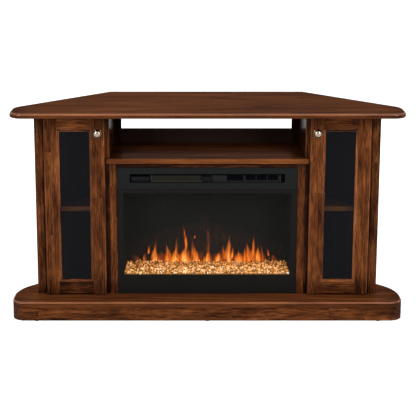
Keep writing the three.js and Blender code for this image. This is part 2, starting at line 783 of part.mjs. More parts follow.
// A mushroom knob. The profile is [radius, distance in front of the door].
function doorKnob(side) {
  const rim = KNOB_DIAMETER / 2;
  const stem = KNOB_STEM_DIAMETER / 2;
  const base = KNOB_BASE_DIAMETER / 2;
  const profile = [
    [0, 0],
    [base, 0],
    [base, KNOB_BASE_THICKNESS],
    [stem, KNOB_NECK_START],
    [stem, KNOB_RIM_AT - 2 * KNOB_RIM_ROUND],
    [rim - KNOB_RIM_ROUND, KNOB_RIM_AT - KNOB_RIM_ROUND / 2],
    [rim, KNOB_RIM_AT],
  ];
  const domeSteps = 7;
  for (let i = 1; i <= domeSteps; i += 1) {
    const angle = Math.PI / 2 * i / domeSteps;
    const height = KNOB_RIM_AT + (KNOB_LENGTH - KNOB_RIM_AT) * Math.sin(angle);
    profile.push([rim * Math.cos(angle), height]);
  }
  profile[profile.length - 1][0] = 0;
  const turned = new THREE.LatheGeometry(path(profile), 32).rotateX(Math.PI);
  return turned.translate(
    side * (doorInner + KNOB_FROM_EDGE),
    doorFront - SEAT_GAP,
    doorTop - KNOB_FROM_TOP,
  );
}

// A flat leaf on the end of the door with a pin on the pivot axis. up is 1 at the top, -1 below.
function doorPivot(side, up) {
  const seat = up > 0 ? doorTop + SEAT_GAP : doorBottom - SEAT_GAP;
  const leafEnd = seat + up * PIVOT_LEAF_THICKNESS;
  const pinEnd = leafEnd + up * PIVOT_PIN_DEPTH;
  const width = PIVOT_LEAF_HALF_WIDTH;
  const plan = rounded([
    [pivotX + width, pivotY - width, width],
    [pivotX + width, pivotY + width, width],
    [pivotX - PIVOT_LEAF_LENGTH, pivotY + width, PIVOT_LEAF_CORNER],
    [pivotX - PIVOT_LEAF_LENGTH, pivotY - width, PIVOT_LEAF_CORNER],
  ], SMALL_ARC_STEP);
  const leaf = board(onSide(side, plan), Math.min(seat, leafEnd), Math.max(seat, leafEnd));
  const pinFrom = Math.min(seat + up * PIVOT_LEAF_THICKNESS / 2, pinEnd);
  const pinTo = Math.max(seat + up * PIVOT_LEAF_THICKNESS / 2, pinEnd);
  return join(leaf, rod('z', [side * pivotX, pivotY], PIVOT_RADIUS, pinFrom, pinTo));
}

sides.forEach(([word, side]) => {
  piece(`${word}_door_hinge_stile`, doorStile(side, doorOuter, -1), stainedWood());
  piece(`${word}_door_latch_stile`, doorStile(side, doorInner, 1), stainedWood());
  piece(`${word}_door_top_rail`, doorRail(side, doorTop, -1), stainedWood());
  piece(`${word}_door_bottom_rail`, doorRail(side, doorBottom, 1), stainedWood());
  piece(`${word}_door_glass`, doorGlass(side), smokedGlass());
  piece(`${word}_door_knob`, doorKnob(side), agedBronze());
  piece(`${word}_door_pivot_top`, doorPivot(side, 1), zincSteel());
  piece(`${word}_door_pivot_bottom`, doorPivot(side, -1), zincSteel());
});

// ---------------------------------------------------------------------------------------------
// Insert: face trim, pane and housing
// ---------------------------------------------------------------------------------------------

const trimOutline = rectangle(-insertHalf, insertHalf, insertBottom, seam - SEAT_GAP);
const windowHole = rectangle(-windowHalf, windowHalf, windowBottom, windowTop);
piece('insert_trim', plate(trimOutline, insertFace, trimBack, TRIM_EASE, [windowHole]), blackSteel());

const fasciaOutline = rectangle(-insertHalf, insertHalf, seam, insertTop);
const slotHole = rectangle(-slotHalf, slotHalf, slotBottom, slotTop);
piece('insert_fascia', plate(fasciaOutline, insertFace, trimBack, TRIM_EASE, [slotHole]), blackSteel());

const paneOutline = rectangle(
  -windowHalf - PANE_LAP,
  windowHalf + PANE_LAP,
  windowBottom - PANE_LAP,
  windowTop + PANE_LAP,
);
piece('insert_glass', plate(paneOutline, insertInside, paneBack), clearGlass());

// A folded box, open at the front, with a bearing on its right wall for the flame rotor.
function housing() {
  const outer = block([-housingHalf, housingHalf], [insertInside, housingBack], [housingBottom, housingTop]);
  const inner = block(
    [-housingHalf + SHEET, housingHalf - SHEET],
    [insertInside - OVERCUT, housingBack - SHEET],
    [housingFloor, housingTop - SHEET],
  );
  const bearingFrom = housingHalf - SHEET - BEARING_LENGTH;
  const bearing = rod('x', [rotorY, rotorZ], BEARING_DIAMETER / 2, bearingFrom, housingHalf - SHEET / 2);
  const boreRadius = ROTOR_SHAFT_DIAMETER / 2 + RUNNING_CLEARANCE;
  const bore = rod('x', [rotorY, rotorZ], boreRadius, bearingFrom - OVERCUT, housingHalf - SHEET);
  return cut(join(cut(outer, inner), bearing), bore);
}

piece('insert_housing', housing(), zincSteel());

// Black liner: two leaning side walls and a ceiling in one folded sheet.
function chamberLiner() {
  const slope = (linerInside(linerFront) - linerInside(linerBack)) / (linerBack - linerFront);
  const frontHalf = linerInside(linerFront);
  const backHalf = frontHalf - slope * (linerBack - linerFront);
  const wall = (side) => board(onSide(side, [
    [frontHalf, linerFront],
    [frontHalf + SHEET, linerFront],
    [backHalf + SHEET, linerBack],
    [backHalf, linerBack],
  ]), linerFloor, linerCeiling);
  const ceiling = board([
    [-frontHalf - SHEET / 2, linerFront],
    [frontHalf + SHEET / 2, linerFront],
    [backHalf + SHEET / 2, linerBack],
    [-backHalf - SHEET / 2, linerBack],
  ], linerCeiling - SHEET, linerCeiling);
  return join(ceiling, wall(-1), wall(1));
}

piece('chamber_liner', chamberLiner(), matteBlack());

const screenHalf = linerInside(screenBack) - SEAT_GAP;
const screenTop = linerCeiling - SHEET - SEAT_GAP;
const screenOutline = rectangle(-screenHalf, screenHalf, linerFloor, screenTop);
piece('flame_screen', plate(screenOutline, screenFront, screenBack), smokeScreen());

// ---------------------------------------------------------------------------------------------
// Insert: ember tray with its bed of glass, and the flame drive behind the screen
// ---------------------------------------------------------------------------------------------

const trayFront = linerFront + SEAT_GAP;
const trayBack = screenFront - SEAT_GAP;

// Plan of the space between the liner's walls, drawn in by a margin.
function bedPlan(margin) {
  const front = trayFront + margin;
  const back = trayBack - margin;
  const frontHalf = linerInside(front) - SEAT_GAP - margin;
  const backHalf = linerInside(back) - SEAT_GAP - margin;
  return [[-frontHalf, front], [frontHalf, front], [backHalf, back], [-backHalf, back]];
}

const trayHollow = board(bedPlan(SHEET), linerFloor - OVERCUT, trayTop - SHEET);
piece('ember_tray', cut(board(bedPlan(0), linerFloor, trayTop), trayHollow), matteBlack());

function emberBed() {
  const bottom = trayTop + SEAT_GAP;
  const full = board(bedPlan(0), bottom, bottom + EMBER_BACK_HEIGHT + OVERCUT);
  const slope = moulding([
    [trayFront - OVERCUT, bottom - OVERCUT],
    [trayBack + OVERCUT, bottom - OVERCUT],
    [trayBack + OVERCUT, bottom + EMBER_BACK_HEIGHT],
    [trayBack - EMBER_LEVEL_DEPTH, bottom + EMBER_BACK_HEIGHT],
    [trayFront - OVERCUT, bottom + EMBER_FRONT_HEIGHT],
  ], -housingHalf, housingHalf);
  return common(full, slope);
}

piece('ember_bed', emberBed(), amberGlass());

const motorLeft = -housingHalf + SHEET + SEAT_GAP;
const motorRight = motorLeft + MOTOR_WIDTH;

// A shaft with groups of bright fins, each group turned on from the last.
function flameRotor() {
  const radius = ROTOR_SHAFT_DIAMETER / 2;
  const left = motorRight - BEARING_LENGTH;
  const right = housingHalf - SHEET - ROTOR_END_PLAY;
  const finsFrom = motorRight + ROTOR_END_SPACE;
  const finsTo = housingHalf - SHEET - BEARING_LENGTH - ROTOR_END_SPACE;
  const pitch = (finsTo - finsFrom) / ROTOR_FIN_GROUPS;
  const length = pitch * ROTOR_FIN_FILL;
  const root = radius / 2;
  const fins = [];
  for (let group = 0; group < ROTOR_FIN_GROUPS; group += 1) {
    for (let fin = 0; fin < ROTOR_FINS_PER_GROUP; fin += 1) {
      const strip = new THREE.BoxGeometry(length, ROTOR_FIN_THICKNESS, ROTOR_FIN_REACH - root);
      strip.translate(0, 0, (ROTOR_FIN_REACH + root) / 2);
      strip.rotateX(Math.PI * 2 * fin / ROTOR_FINS_PER_GROUP + group * ROTOR_FIN_TWIST);
      fins.push(strip.translate(finsFrom + pitch * (group + 0.5), rotorY, rotorZ));
    }
  }
  return join(rod('x', [rotorY, rotorZ], radius, left, right), ...fins);
}

piece('flame_rotor', flameRotor(), brightFoil());

function rotorMotor() {
  const half = MOTOR_SIZE / 2;
  const body = block([motorLeft, motorRight], [rotorY - half, rotorY + half], [rotorZ - half, rotorZ + half]);
  const boreRadius = ROTOR_SHAFT_DIAMETER / 2 + RUNNING_CLEARANCE;
  const boreFrom = motorRight - BEARING_LENGTH - ROTOR_END_PLAY;
  return cut(body, rod('x', [rotorY, rotorZ], boreRadius, boreFrom, motorRight + OVERCUT));
}

piece('rotor_motor', rotorMotor(), zincSteel());

// A strip of lamps on the housing floor, under the rotor.
function ledBoard() {
  const half = linerInside(linerBack) - MOTOR_WIDTH;
  const front = rotorY - LED_BOARD_WIDTH / 2;
  const top = linerFloor + LED_BOARD_THICKNESS;
  const strip = block([-half, half], [front, front + LED_BOARD_WIDTH], [linerFloor, top]);
  const lamps = [];
  for (let i = 0; i < LED_COUNT; i += 1) {
    const x = half * (2 * (i + 0.5) / LED_COUNT - 1);
    const across = [x - LED_SIZE / 2, x + LED_SIZE / 2];
    const along = [rotorY - LED_SIZE / 2, rotorY + LED_SIZE / 2];
    lamps.push(block(across, along, [top - LED_ROOT, top + LED_HEIGHT]));
  }
  return join(strip, ...lamps);
}

piece('led_board', ledBoard(), greenBoard());

// ---------------------------------------------------------------------------------------------
// Insert: fan heater above the chamber
// ---------------------------------------------------------------------------------------------

const ductFront = insertInside + DUCT_SETBACK;
const ductBack = ductFront + DUCT_DEPTH;
const ductBottom = linerCeiling + SEAT_GAP;
const ductTop = ductBottom + DUCT_HEIGHT;
const ductLeft = DUCT_CENTRE - DUCT_WIDTH / 2;
const ductRight = DUCT_CENTRE + DUCT_WIDTH / 2;
const wheelY = ductBack - WHEEL_DIAMETER / 2 - WHEEL_FROM_BACK;
const wheelZ = (ductBottom + ductTop) / 2;

// A duct open at the front and the back. Its end plates carry the wheel's shaft.
function heaterDuct() {
  const outer = block([ductLeft, ductRight], [ductFront, ductBack], [ductBottom, ductTop]);
  const inner = block(
    [ductLeft + DUCT_SHEET, ductRight - DUCT_SHEET],
    [ductFront - OVERCUT, ductBack + OVERCUT],
    [ductBottom + DUCT_SHEET, ductTop - DUCT_SHEET],
  );
  const boreRadius = WHEEL_SHAFT_DIAMETER / 2 + RUNNING_CLEARANCE;
  const bore = rod('x', [wheelY, wheelZ], boreRadius, ductLeft - OVERCUT, ductRight + OVERCUT);
  return cut(outer, inner, bore);
}

piece('heater_duct', heaterDuct(), zincSteel());

function blowerWheel() {
  const radius = WHEEL_DIAMETER / 2;
  const from = ductLeft + DUCT_SHEET + WHEEL_END_PLAY;
  const to = ductRight - DUCT_SHEET - WHEEL_END_PLAY;
  const discs = [from, to - WHEEL_DISC_THICKNESS].map((x) => (
    rod('x', [wheelY, wheelZ], radius, x, x + WHEEL_DISC_THICKNESS)
  ));
  const shaft = rod(
    'x',
    [wheelY, wheelZ],
    WHEEL_SHAFT_DIAMETER / 2,
    ductLeft - WHEEL_SHAFT_OVERHANG,
    ductRight + WHEEL_SHAFT_OVERHANG,
  );
  const blades = [];
  for (let i = 0; i < WHEEL_BLADES; i += 1) {
    const blade = new THREE.BoxGeometry(to - from, WHEEL_BLADE_THICKNESS, WHEEL_BLADE_DEPTH);
    blade.rotateX(WHEEL_BLADE_PITCH).translate(0, 0, radius - WHEEL_BLADE_DEPTH / 2 - WHEEL_BLADE_INSET);
    blades.push(blade.rotateX(Math.PI * 2 * i / WHEEL_BLADES).translate((from + to) / 2, wheelY, wheelZ));
  }
  return join(shaft, ...discs, ...blades);
}

piece('blower_wheel', blowerWheel(), matteBlack());

// A finned bar across the mouth of the duct.
function heaterElement() {
  const left = ductLeft + DUCT_SHEET + SEAT_GAP;
  const right = ductRight - DUCT_SHEET - SEAT_GAP;
  const front = ductFront + HEATER_SETBACK;
  const back = front + HEATER_DEPTH;
  const pitch = (right - left) / HEATER_FINS;
  const comb = [[left, back], [left, front]];
  for (let i = 0; i < HEATER_FINS; i += 1) {
    const from = left + pitch * i + HEATER_FIN_WIDTH / 2;
    const to = left + pitch * (i + 1) - HEATER_FIN_WIDTH / 2;
    const bottom = front + HEATER_FIN_DEPTH;
    comb.push([from, front], [from, bottom], [to, bottom], [to, front]);
  }
  comb.push([right, front], [right, back]);
  return board(comb.reverse(), wheelZ - HEATER_HEIGHT / 2, wheelZ + HEATER_HEIGHT / 2);
}

piece('heater_element', heaterElement(), brightFoil());

// ---------------------------------------------------------------------------------------------
// Insert: outlet grille, control panel and its buttons
// ---------------------------------------------------------------------------------------------

const slotMiddle = (slotBottom + slotTop) / 2;

function outletGrille() {
  const left = -slotHalf - GRILLE_LAP;
  const outline = rectangle(left, GRILLE_SPLIT, slotBottom - GRILLE_LAP, slotTop + GRILLE_LAP);
  const low = slotMiddle - MESH_HEIGHT / 2;
  const high = slotMiddle + MESH_HEIGHT / 2;
  const pitch = MESH_WIDTH / MESH_BARS;
  const ventRight = MESH_LEFT - SIDE_VENT_SPACE;
  const ventLeft = ventRight - SIDE_VENT_WIDTH;
  const vent = [[ventLeft, low], [ventRight, low], [ventRight, high], [ventLeft, high]];
  const holes = [rounded(vent.map((corner) => [...corner, SIDE_VENT_RADIUS]), SMALL_ARC_STEP)];
  for (let i = 0; i < MESH_BARS; i += 1) {
    const x = MESH_LEFT + pitch * i;
    holes.push(rectangle(x, x + pitch - MESH_BAR_WIDTH, low, high));
  }
  const back = insertInside + GRILLE_THICKNESS;
  const cutters = holes.map((hole) => plate(hole, insertInside - OVERCUT, back + OVERCUT));
  return cut(plate(outline, insertInside, back), ...cutters);
}

piece('outlet_grille', outletGrille(), blackPlastic());

const stripLow = slotMiddle - WINDOW_STRIP_HEIGHT / 2;
const stripHigh = slotMiddle + WINDOW_STRIP_HEIGHT / 2;
const panelFront = insertInside;
const panelBack = panelFront + CONTROL_THICKNESS;

function buttonOutline(index, grow) {
  const left = BUTTONS_LEFT + BUTTON_PITCH * index;
  return rectangle(left - grow, left + BUTTON_WIDTH + grow, stripLow - grow, stripHigh + grow);
}

function controlPanel() {
  const outline = rectangle(
    GRILLE_SPLIT + SEAT_GAP,
    slotHalf + GRILLE_LAP,
    slotBottom - GRILLE_LAP,
    slotTop + GRILLE_LAP,
  );
  const holes = BUTTON_NAMES.map((name, index) => (
    plate(buttonOutline(index, BUTTON_FIT), panelFront - OVERCUT, panelBack + OVERCUT)
  ));
  const display = block(
    [DISPLAY_LEFT, DISPLAY_LEFT + DISPLAY_WIDTH],
    [panelFront - OVERCUT, panelFront + DISPLAY_RECESS],
    [stripLow, stripHigh],
  );
  return cut(plate(outline, panelFront, panelBack), ...holes, display);
}

piece('control_panel', controlPanel(), blackPlastic());

BUTTON_NAMES.forEach((name, index) => {
  const front = panelFront + BUTTON_INSET;
  const cap = plate(buttonOutline(index, 0), front, front + BUTTON_DEPTH, BUTTON_EASE);
  piece(name, cap, blackPlastic());
});

// A round gland on the back of the housing, where the supply cord would enter.
function cordInlet() {
  const radius = INLET_DIAMETER / 2;
  const bore = INLET_BORE / 2;
  const profile = path([
    [bore, 0],
    [radius, 0],
    [radius, INLET_FLANGE],
    [radius - INLET_FLANGE, INLET_FLANGE],
    [radius - INLET_FLANGE - INLET_TAPER, INLET_LENGTH],
    [bore, INLET_LENGTH],
    [bore, 0],
  ]);
  const place = [INLET_FROM_CENTRE, housingBack + SEAT_GAP, housingBottom + INLET_HEIGHT];
  return new THREE.LatheGeometry(profile, 24).translate(...place);
}

piece('cord_inlet', cordInlet(), blackPlastic());

export default fireplace;
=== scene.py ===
# %% [markdown]
# # A corner media console with an electric fireplace insert
# The cabinet is solid hardwood with a wiped brown stain and a thin satin lacquer. It fits a room
# corner, so its plan is a wide front, two sides at 45 degrees and a narrow back. In the middle
# sits a black steel insert with a glass front, a bed of crushed glass and a projected flame.
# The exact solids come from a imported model, which this script never moves. What it adds is finish:
# grain, lacquer, smoked glass, antiqued brass, loose glass chips and the flame itself.

import json
import math
import random

import bmesh
import bpy
from mathutils import Matrix, Vector

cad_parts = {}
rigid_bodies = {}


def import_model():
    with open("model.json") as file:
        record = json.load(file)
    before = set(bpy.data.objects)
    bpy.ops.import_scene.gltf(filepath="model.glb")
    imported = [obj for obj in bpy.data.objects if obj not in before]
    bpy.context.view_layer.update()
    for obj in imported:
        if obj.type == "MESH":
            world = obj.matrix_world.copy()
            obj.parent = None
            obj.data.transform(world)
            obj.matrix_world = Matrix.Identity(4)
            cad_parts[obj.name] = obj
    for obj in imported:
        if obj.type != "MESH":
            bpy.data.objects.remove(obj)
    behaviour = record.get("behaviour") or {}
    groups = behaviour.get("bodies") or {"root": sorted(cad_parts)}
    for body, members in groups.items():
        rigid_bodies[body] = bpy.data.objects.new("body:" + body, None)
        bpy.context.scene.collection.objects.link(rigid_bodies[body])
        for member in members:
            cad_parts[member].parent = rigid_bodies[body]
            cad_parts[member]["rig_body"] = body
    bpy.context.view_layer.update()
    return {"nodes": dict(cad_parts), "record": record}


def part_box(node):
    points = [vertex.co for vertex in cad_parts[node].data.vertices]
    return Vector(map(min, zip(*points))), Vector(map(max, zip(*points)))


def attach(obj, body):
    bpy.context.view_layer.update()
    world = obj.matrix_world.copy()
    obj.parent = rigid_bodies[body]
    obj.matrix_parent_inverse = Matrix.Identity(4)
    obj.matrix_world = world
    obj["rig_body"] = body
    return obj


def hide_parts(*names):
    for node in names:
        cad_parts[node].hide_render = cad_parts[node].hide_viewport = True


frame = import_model()
nodes = frame["nodes"]
MM = 0.001

# %% [markdown]
# ## Camera
# The console was photographed from straight ahead with a long lens, a little above its top, so
# the top board shows as a thin trapezium and the uprights stay nearly parallel. A small vertical
# shift places it in the frame, where a tilt would lean the uprights. The camera stands a hand's
# width left of the middle, so the bay shows more of its right wall.

# %% Set the camera
FRAME_PX = 416
FOCAL_PX = 1200
AIM_COLUMN_PX = 190.2
AIM_ROW_PX = 133
SENSOR_MM = 36
CAMERA_PITCH = math.radians(12.0)
CAMERA_PLACE = Vector((-0.060, -4.213, 1.5235))

camera_data = bpy.data.cameras.new("camera")
camera_data.sensor_width = SENSOR_MM
camera_data.lens = SENSOR_MM * FOCAL_PX / FRAME_PX
camera_data.shift_x = (FRAME_PX / 2 - AIM_COLUMN_PX) / FRAME_PX
camera_data.shift_y = (AIM_ROW_PX - FRAME_PX / 2) / FRAME_PX
camera = bpy.data.objects.new("camera", camera_data)
camera.location = CAMERA_PLACE
camera.rotation_euler = (math.pi / 2 - CAMERA_PITCH, 0, 0)
bpy.context.scene.collection.objects.link(camera)
bpy.context.scene.camera = camera
print("lens mm:", round(camera_data.lens, 1), "shift:", round(camera_data.shift_y, 3))

# %% [markdown]
# ## Small tools for materials
# A stain is given as an sRGB hex colour, but light adds up in linear values, so one
# function turns the one into the other. Another adds a shader node with its settings and links,
# which keeps each recipe below short enough to read.

# %% Colour and node helpers
def linear(code):
    """An sRGB hex colour as the linear red, green, blue and alpha that a shader takes."""
    channels = []
    for start in (1, 3, 5):
        value = int(code[start:start + 2], 16) / 255
        # The sRGB curve is straight near black and a power above it.
        channels.append(value / 12.92 if value <= 0.04045 else ((value + 0.055) / 1.055) ** 2.4)
    return (*channels, 1.0)


def feed(node, inputs):
    """Fills a node's inputs, each with a value, a socket, or a node's first output."""
    for name, value in (inputs.items() if isinstance(inputs, dict) else enumerate(inputs)):
        if isinstance(value, bpy.types.Node):
            value = value.outputs[0]
        if isinstance(value, bpy.types.NodeSocket):
            node.id_data.links.new(value, node.inputs[name])
        else:
            node.inputs[name].default_value = value


def add(tree, kind, inputs=(), stops=None, **settings):
    """Adds one node with its settings and links. Inputs go by name, or in order as a list."""
    node = tree.nodes.new(kind)
    for name, value in settings.items():
        setattr(node, name, value)
    feed(node, inputs)
    if stops:
        ramp = node.color_ramp.elements
        while len(ramp) < len(stops):
            ramp.new(1.0)
        for element, (place, code) in zip(ramp, stops):
            element.position = place
            element.color = linear(code)
    return node


def new_material(name, **surface):
    """A material with one Principled shader, whose fixed values sit on its own sockets."""
    material = bpy.data.materials.new(name)
    material.use_nodes = True
    tree = material.node_tree
    tree.nodes.clear()
    shader = add(tree, "ShaderNodeBsdfPrincipled", surface)
    add(tree, "ShaderNodeOutputMaterial", {"Surface": shader})
    return material, tree, shader


def finish_with(obj, material):
    obj.data.materials.clear()
    obj.data.materials.append(material)


print("white as linear:", linear("#ffffff")[:3])

# %% [markdown]
# ## White cove
# A studio cove is a white floor that runs up into the wall without an edge. It could be a curved
# sheet, but a plain white world does the same from every side. The camera and reflections see it
# full white. The wood gets only a soft fill from it, as more would wash out the stain.

# %% Surround the console with white
FILL = 0.34


def seen_directly(tree):
    """1 for camera, glossy and transmitted rays, 0 for light that falls on the object."""
    path = add(tree, "ShaderNodeLightPath")
    either = add(tree, "ShaderNodeMath", [
        path.outputs["Is Camera Ray"],
        path.outputs["Is Glossy Ray"],
    ], operation="MAXIMUM")
    return add(tree, "ShaderNodeMath", [either, path.outputs["Is Transmission Ray"]],
               operation="MAXIMUM")


world = bpy.data.worlds.new("cove")
world.use_nodes = True
world.node_tree.nodes.clear()
cove_strength = add(world.node_tree, "ShaderNodeMapRange", {
    "Value": seen_directly(world.node_tree),
    "To Min": FILL,
    "To Max": 1.0,
})
cove = add(world.node_tree, "ShaderNodeBackground", {
    "Color": linear("#ffffff"),
    "Strength": cove_strength,
})
add(world.node_tree, "ShaderNodeOutputWorld", {"Surface": cove})
bpy.context.scene.world = world
print("fill:", FILL)

# %% [markdown]
# ## Floor
# A white world holds no shadow, and without one the console would seem to float. So the floor is
# a real sheet of dull white paint, whose glow rises with the distance until it meets the cove.

# %% Lay the floor
FLOOR_HALF_M = 30
FLOOR_NEAR_M, FLOOR_FAR_M = 1.2, 3.2
FLOOR_NEAR_GLOW, FLOOR_FAR_GLOW = 0.62, 1.05
floor_bm = bmesh.new()
bmesh.ops.create_grid(floor_bm, x_segments=1, y_segments=1, size=FLOOR_HALF_M)
floor_mesh = bpy.data.meshes.new("floor")
floor_bm.to_mesh(floor_mesh)
floor_bm.free()
floor = bpy.data.objects.new("floor", floor_mesh)
bpy.context.scene.collection.objects.link(floor)

floor_paint, floor_tree, floor_shader = new_material("white_floor_paint", **{
    "Base Color": linear("#dedede"),
    "Roughness": 1.0,
    "Specular IOR Level": 0.0,
    "Emission Color": linear("#ffffff"),
})
from_middle = add(floor_tree, "ShaderNodeVectorMath", [
    add(floor_tree, "ShaderNodeTexCoord").outputs["Object"],
], operation="LENGTH")
reach = add(floor_tree, "ShaderNodeMapRange", {
    "Value": from_middle.outputs["Value"],
    "From Min": FLOOR_NEAR_M,
    "From Max": FLOOR_FAR_M,
    "To Min": FLOOR_NEAR_GLOW,
    "To Max": FLOOR_FAR_GLOW,
})
floor_glow = add(floor_tree, "ShaderNodeMath", [
    seen_directly(floor_tree),
    reach,
], operation="MULTIPLY")
feed(floor_shader, {"Emission Strength": floor_glow})
finish_with(floor, floor_paint)
print("floor side m:", 2 * FLOOR_HALF_M)

# %% [markdown]
# ## Lamps
# Two tall softboxes stand left and right of the camera: the knobs show both as a pair of
# catch-lights, which is how their places are known. A long dim panel overhead draws the thin
# light line on the rounded edges. Two weak lamps keep the back readable from other sides, and
# reflections leave them out.

# %% Hang the lamps
AIM = Vector((0, 0, 0.4))
LAMPS = {
    # name: (azimuth, with 0 on the camera's side, elevation, distance m, size m, watts, glossy)
    "softbox_left": (-40, 24, 3.0, (0.9, 1.7), 62, True),
    "softbox_right": (38, 24, 3.0, (0.9, 1.7), 62, True),
    "overhead_panel": (0, 74, 2.4, (2.6, 0.7), 20, True),
    "back_left": (-145, 30, 3.2, (1.4, 1.4), 24, False),
    "back_right": (145, 30, 3.2, (1.4, 1.4), 24, False),
}
for name, (azimuth, elevation, distance, size, watts, glossy) in LAMPS.items():
    lamp = bpy.data.lights.new(name, "AREA")
    lamp.shape = "RECTANGLE"
    lamp.size, lamp.size_y = size
    lamp.energy = watts
    turn, rise = math.radians(azimuth), math.radians(elevation)
    away = Vector((
        math.sin(turn) * math.cos(rise),
        -math.cos(turn) * math.cos(rise),
        math.sin(rise),
    ))
    holder = bpy.data.objects.new(name, lamp)
    holder.location = AIM + distance * away
    holder.rotation_euler = (-away).to_track_quat("-Z", "Y").to_euler()
    holder.visible_glossy = glossy
    bpy.context.scene.collection.objects.link(holder)

bpy.context.scene.view_settings.view_transform = "Standard"
print("lamps:", list(LAMPS))

# %% [markdown]
# ## Stained hardwood
# The boards are glued up from short staves, each cut from another tree. A wiped brown stain takes
# them unevenly: blotches, long streaks, dark growth rings and fine pores show at once, and every
# stave has its own tone and a clear edge. A picture of wood would repeat, so the figure is built
# from noise, in one group that each board only turns and shifts. It starts with bricks without
# mortar, which give each stave a chance number for its tone and its part of the tree. A slow
# noise then lets the grain wander a little.

# %% Lay the staves
BEND_LENGTH_MM, BEND_MM = 240, 10
STAVE_SHIFT_M = (6.1, 0.0, 2.7)
wood = bpy.data.node_groups.new("stained_hardwood_figure", "ShaderNodeTree")
for name, kind in {"Place": "Vector", "Middle": "Vector", "Half Length": "Float",
                   "Half Width": "Float", "Stave Length": "Float", "Stave Width": "Float",
                   "Stave Tone": "Float", "Figure": "Float", "Tone": "Float"}.items():
    wood.interface.new_socket(name, in_out="INPUT", socket_type="NodeSocket" + kind)
for name, kind in {"Colour": "Color", "Height": "Float"}.items():
    wood.interface.new_socket(name, in_out="OUTPUT", socket_type="NodeSocket" + kind)
board = add(wood, "NodeGroupInput")
staves = add(wood, "ShaderNodeTexBrick", {
    "Vector": board.outputs["Place"],
    "Color1": (0, 0, 0, 1),
    "Color2": (1, 1, 1, 1),
    "Scale": 1.0,
    "Mortar Size": 0.0,
    "Brick Width": board.outputs["Stave Length"],
    "Row Height": board.outputs["Stave Width"],
}, offset=0.37, offset_frequency=2)
shifted = add(wood, "ShaderNodeVectorMath", [
    staves.outputs["Color"],
    STAVE_SHIFT_M,
    board.outputs["Place"],
], operation="MULTIPLY_ADD")
bend = add(wood, "ShaderNodeTexNoise", {
    "Vector": shifted,
    "Scale": 1 / (BEND_LENGTH_MM * MM),
    "Detail": 1.0,
})
bent_place = add(wood, "ShaderNodeVectorMath", [
    bend.outputs["Color"],
    (0.0, BEND_MM * MM, BEND_MM * MM),
    shifted,
], operation="MULTIPLY_ADD")
print("board inputs:", [socket.name for socket in board.outputs if socket.name])

# %% [markdown]
# ## Marks along the grain
# Every mark in wood is drawn out along the grain, so each gets a noise of its own, stretched to
# its real length and width. Four add up to the figure, which is laid over the board's middle
# tone. The other two serve the rings and the pores.

# %% Stretch the marks
FIGURE_MARKS = {
    # name: (length mm, width mm, detail)
    "cloud": (140, 50, 2.0),
    "streak": (160, 8, 2.5),
    "ribbon": (34, 4.0, 2.0),
    "fibre": (20, 1.3, 1.0),
    "ring": (420, 46, 0.0),
    "pore": (8, 0.8, 0.0),
}
MARK_WEIGHTS = {"cloud": 0.85, "streak": 0.55, "ribbon": 0.75, "fibre": 0.30}
marks_of = {}
for name, (length, width, detail) in FIGURE_MARKS.items():
    stretched = add(wood, "ShaderNodeVectorMath", [
        bent_place,
        (1 / (length * MM), 1 / (width * MM), 1 / (width * MM)),
    ], operation="MULTIPLY")
    marks_of[name] = add(wood, "ShaderNodeTexNoise", {
        "Vector": stretched,
        "Scale": 1.0,
        "Detail": detail,
    })
stain = 0.0
for name, weight in MARK_WEIGHTS.items():
    centred = add(wood, "ShaderNodeMath", [marks_of[name], 0.5], operation="SUBTRACT")
    stain = add(wood, "ShaderNodeMath", [centred, weight, stain], operation="MULTIPLY_ADD")
stain = add(wood, "ShaderNodeMath", [stain, board.outputs["Figure"], board.outputs["Tone"]],
            operation="MULTIPLY_ADD")
print("marks:", list(FIGURE_MARKS))

# %% [markdown]
# ## Rings and pores
# On a flat-sawn board the growth rings run as nested lines, like a map's contours. A sine of a
# slow noise draws such lines, and a power thins them to their dark late wood. Pores are short
# open cells that fill with pigment, so only a noise's highest spots become one.

# %% Draw the rings and the pores
RING_COUNT, RING_THINNESS, RING_TONE = 9, 3.0, 0.09
PORE_FROM, PORE_FULL, PORE_TONE = 0.62, 0.74, 0.14
phase = add(wood, "ShaderNodeMath", [marks_of["ring"], RING_COUNT * math.tau],
            operation="MULTIPLY")
wave = add(wood, "ShaderNodeMath", [phase], operation="SINE")
lifted = add(wood, "ShaderNodeMath", [wave, 0.5, 0.5], operation="MULTIPLY_ADD")
late_wood = add(wood, "ShaderNodeMath", [lifted, RING_THINNESS], operation="POWER")
pores = add(wood, "ShaderNodeMapRange", {
    "Value": marks_of["pore"],
    "From Min": PORE_FROM,
    "From Max": PORE_FULL,
})
stave_chance = add(wood, "ShaderNodeMath", [staves.outputs["Color"], 0.5], operation="SUBTRACT")
for mark, weight in (
    (stave_chance, board.outputs["Stave Tone"]),
    (late_wood, -RING_TONE),
    (pores, -PORE_TONE),
):
    stain = add(wood, "ShaderNodeMath", [mark, weight, stain], operation="MULTIPLY_ADD")
print("ring lines in the noise:", RING_COUNT)

# %% [markdown]
# ## Ends and edges
# Stain soaks deeper into a board's ends, and some stays along its edges when the rest is wiped
# off. Both fade inwards from the board's own outline, which the group gets as two half sizes,
# and the clouds break the fade up. A ramp then turns the tone into the stain's colours.

